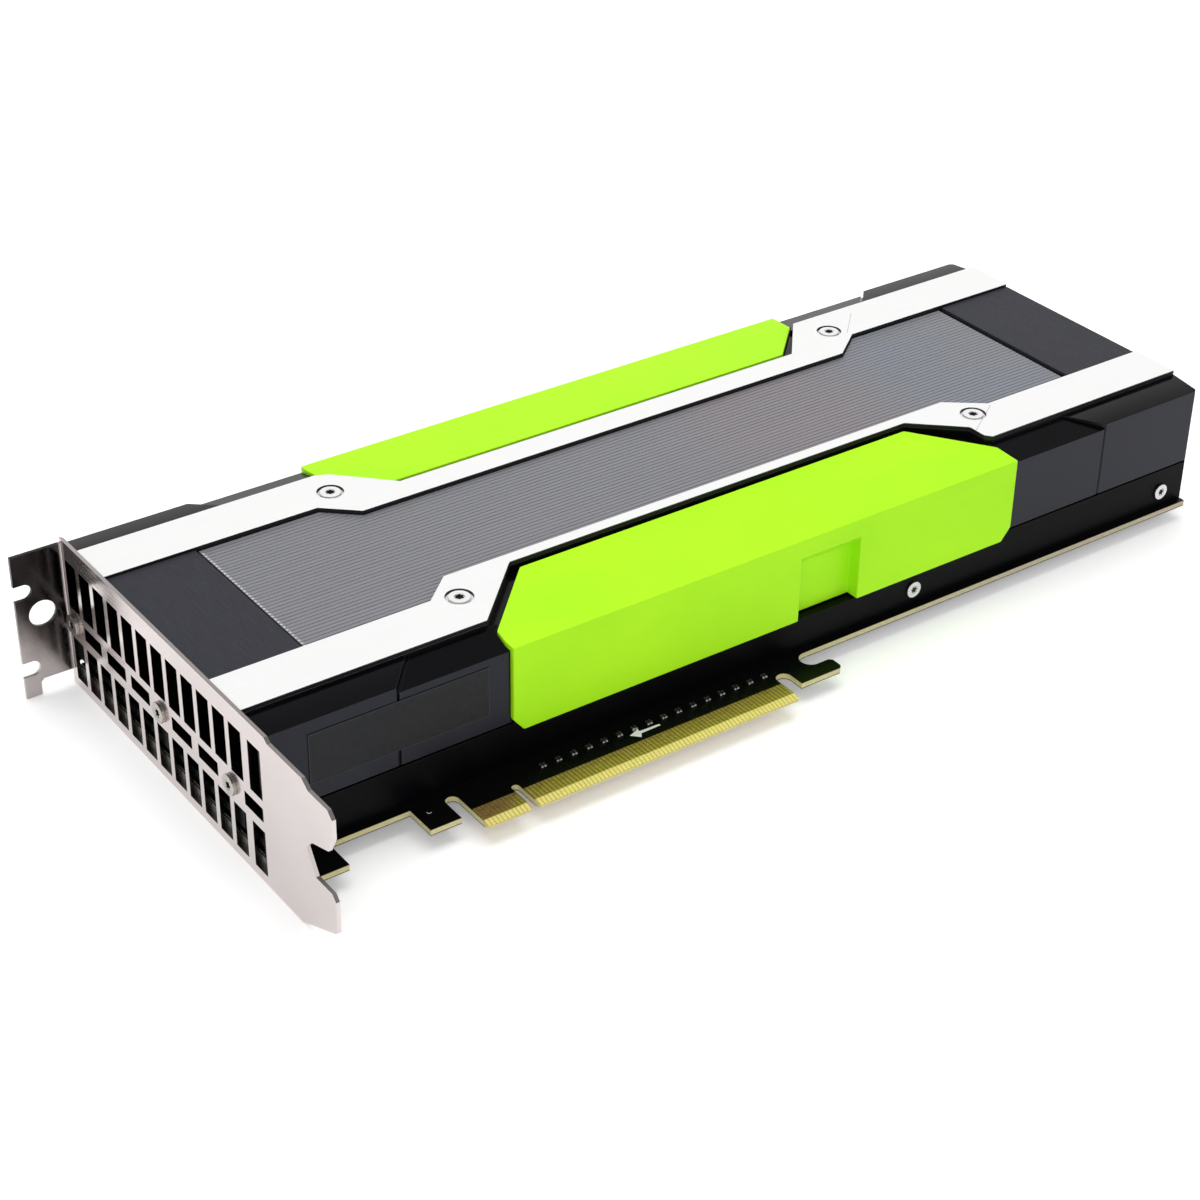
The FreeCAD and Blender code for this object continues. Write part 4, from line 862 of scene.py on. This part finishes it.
def small_part(piece, x, y, z):
    """A ceramic block under the board, whose ends are wrapped in slightly larger caps."""
    length, width, height, cap, proud, lower = 1.6, 0.8, 0.6, 0.34, 0.02, 0.04
    piece.block((x - length / 2 + cap, y - width / 2, z - height + lower),
                (x + length / 2 - cap, y + width / 2, z), 0, CAP_INSET)
    for end in (-1, 1):
        middle = x + end * (length - cap) / 2
        piece.block((middle - cap / 2, y - width / 2 - proud, z - height),
                    (middle + cap / 2, y + width / 2 + proud, z), 1, CAP_INSET)


def fin_glint_teeth():
    """The fins' front cut edge, one small tooth for each fold, coloured pale as a painted
    highlight where light glints on it.
    """
    piece = Piece("fin_front_glint", ["painted_glint"], "fin_aluminium")
    left, right = fin_low.x + 0.02, fin_low.x + 0.62
    bottom, top = fin_high.z - 0.15, fin_high.z + 0.03
    first, last = plate_low.y + 0.6, plate_high.y - 0.6
    pitch, tooth_share = 1.25, 0.62
    for k in range(int((last - first) / pitch)):
        y = first + k * pitch
        piece.block((left, y, bottom), (right, y + pitch * tooth_share, top), 0, 0.03)
    piece.finish()


def label_border():
    """Thin raised rim round the bare label on the near side."""
    piece = Piece("label_border", ["label_rim"], "label_film")
    low, high = node_box("side_label")
    proud, deep, wide = 0.03, 0.05, 0.22
    for x0, x1, z0, z1 in ((low.x, high.x, high.z - wide, high.z),
                           (low.x, high.x, low.z, low.z + wide),
                           (low.x, low.x + wide, low.z + wide, high.z - wide),
                           (high.x - wide, high.x, low.z + wide, high.z - wide)):
        piece.block((x0, low.y - proud, z0), (x1, low.y + deep, z1))
    piece.finish()


drive_recesses()
capacitor_ends()
board_legend()
back_legend()
back_joints()
back_small_parts()
fin_glint_teeth()
label_border()


# ---------------------------------------------------------------- studio, in metres
FLOOR_Z = bracket_low.z * MM
FLOOR_SIZE = 6.0
FLOOR_WHITE = (0.94, 0.94, 0.94)
GLOW_DISTANCE = (0.5, 2.0)      # from the floor's middle, where the glow starts and ends rising
GLOW = (0.25, 0.7)              # near and far, seen by the camera and in reflections
WORLD_STRENGTH = 0.45           # of the light that falls on the card
WORLD_OVERHEAD = 0.25           # of what reflections see above the backdrop
BACKDROP_TOP = (0.42, 0.62)     # sine of the heights between which the backdrop fades out
CARD_MIDDLE = Vector((75.0, 61.5, 16.0)) * MM


def studio_floor():
    """Pale floor at the card's lowest point, which glows to the camera and keeps the shadow."""
    mesh = bpy.data.meshes.new("studio_floor")
    half = FLOOR_SIZE / 2
    corners = [(-half, -half, FLOOR_Z), (half, -half, FLOOR_Z), (half, half, FLOOR_Z),
               (-half, half, FLOOR_Z)]
    mesh.from_pydata(corners, [], [(0, 1, 2, 3)])
    floor = bpy.data.objects.new("studio_floor", mesh)
    bpy.context.scene.collection.objects.link(floor)
    g = Graph("studio_white")
    g.set(Base_Color=FLOOR_WHITE, Roughness=0.9, Specular_IOR_Level=0.1)
    paths = g.add("ShaderNodeLightPath")
    seen = g.math("MAXIMUM", paths.outputs["Is Camera Ray"], paths.outputs["Is Glossy Ray"])
    distance = g.add("ShaderNodeVectorMath", {0: g.place}, operation="LENGTH").outputs["Value"]
    glow = g.spread(distance, *GLOW_DISTANCE, *GLOW)
    g.set(Emission_Color=(1.0, 1.0, 1.0), Emission_Strength=g.math("MULTIPLY", seen, glow))
    mesh.materials.append(g.material)


def area_lamp(name, place, size, power):
    """A white softbox aimed at the card, which no reflection shows."""
    data = bpy.data.lights.new(name, "AREA")
    data.shape = "RECTANGLE"
    data.size, data.size_y = size
    data.energy = power
    lamp = bpy.data.objects.new(name, data)
    lamp.location = place
    lamp.rotation_euler = (CARD_MIDDLE - Vector(place)).to_track_quat("-Z", "Y").to_euler()
    lamp.visible_glossy = False
    bpy.context.scene.collection.objects.link(lamp)


def studio_world():
    """Even soft light; the white backdrop is seen low round the horizon in reflections."""
    world = bpy.data.worlds.new("studio_world")
    bpy.context.scene.world = world
    world.use_nodes = True
    tree = world.node_tree
    background = tree.nodes["Background"]
    background.inputs["Color"].default_value = (1.0, 1.0, 1.0, 1.0)

    def step(kind, inputs, **settings):
        node = tree.nodes.new(kind)
        for key, value in settings.items():
            setattr(node, key, value)
        for key, value in inputs.items():
            if isinstance(value, bpy.types.NodeSocket):
                tree.links.new(value, node.inputs[key])
            else:
                node.inputs[key].default_value = value
        return node.outputs

    paths = step("ShaderNodeLightPath", {})
    direction = step("ShaderNodeTexCoord", {})["Generated"]
    rise = step("ShaderNodeSeparateXYZ", {0: direction})["Z"]
    backdrop = step("ShaderNodeMapRange", {"Value": rise, "From Min": BACKDROP_TOP[0],
                                           "From Max": BACKDROP_TOP[1], "To Min": 1.0,
                                           "To Max": WORLD_OVERHEAD})[0]
    mirrored = step("ShaderNodeMath", {0: backdrop, 1: paths["Is Glossy Ray"]},
                    operation="MULTIPLY")[0]
    plain = step("ShaderNodeMath", {0: 1.0, 1: paths["Is Glossy Ray"]}, operation="SUBTRACT")[0]
    even = step("ShaderNodeMath", {0: plain, 1: WORLD_STRENGTH}, operation="MULTIPLY")[0]
    lit = step("ShaderNodeMath", {0: mirrored, 1: even}, operation="ADD")[0]
    seen = step("ShaderNodeMath", {0: lit, 1: paths["Is Camera Ray"]}, operation="MAXIMUM")[0]
    tree.links.new(seen, background.inputs["Strength"])


studio_floor()
studio_world()
area_lamp("overhead_softbox", (0.10, 0.30, 1.10), (1.3, 1.0), 10.0)
area_lamp("front_softbox", (-0.75, -0.85, 0.65), (0.9, 0.7), 4.0)
area_lamp("right_softbox", (0.95, -0.55, 0.55), (0.7, 0.6), 2.0)

# ---------------------------------------------------------------- camera
CAMERA_PLACE = Vector((-242.85, -356.31, 323.29)) * MM
CAMERA_AIM = Vector((43.99, 40.59, 16.0)) * MM
CAMERA_ROLL = math.radians(0.836)
CAMERA_LENS = 75.83
CAMERA_SENSOR = 36.0
CAMERA_SHIFT = (0.0035, -0.0034)
CAMERA_REACH = (0.01, 20.0)

camera_data = bpy.data.cameras.new("camera")
camera_data.lens = CAMERA_LENS
camera_data.sensor_width = CAMERA_SENSOR
camera_data.shift_x, camera_data.shift_y = CAMERA_SHIFT
camera_data.clip_start, camera_data.clip_end = CAMERA_REACH
camera = bpy.data.objects.new("camera", camera_data)
camera.location = CAMERA_PLACE
level = (CAMERA_AIM - CAMERA_PLACE).to_track_quat("-Z", "Y")
camera.rotation_mode = "QUATERNION"
camera.rotation_quaternion = level @ Quaternion((0.0, 0.0, 1.0), CAMERA_ROLL)
bpy.context.scene.collection.objects.link(camera)
bpy.context.scene.camera = camera
bpy.context.scene.view_settings.view_transform = "Standard"
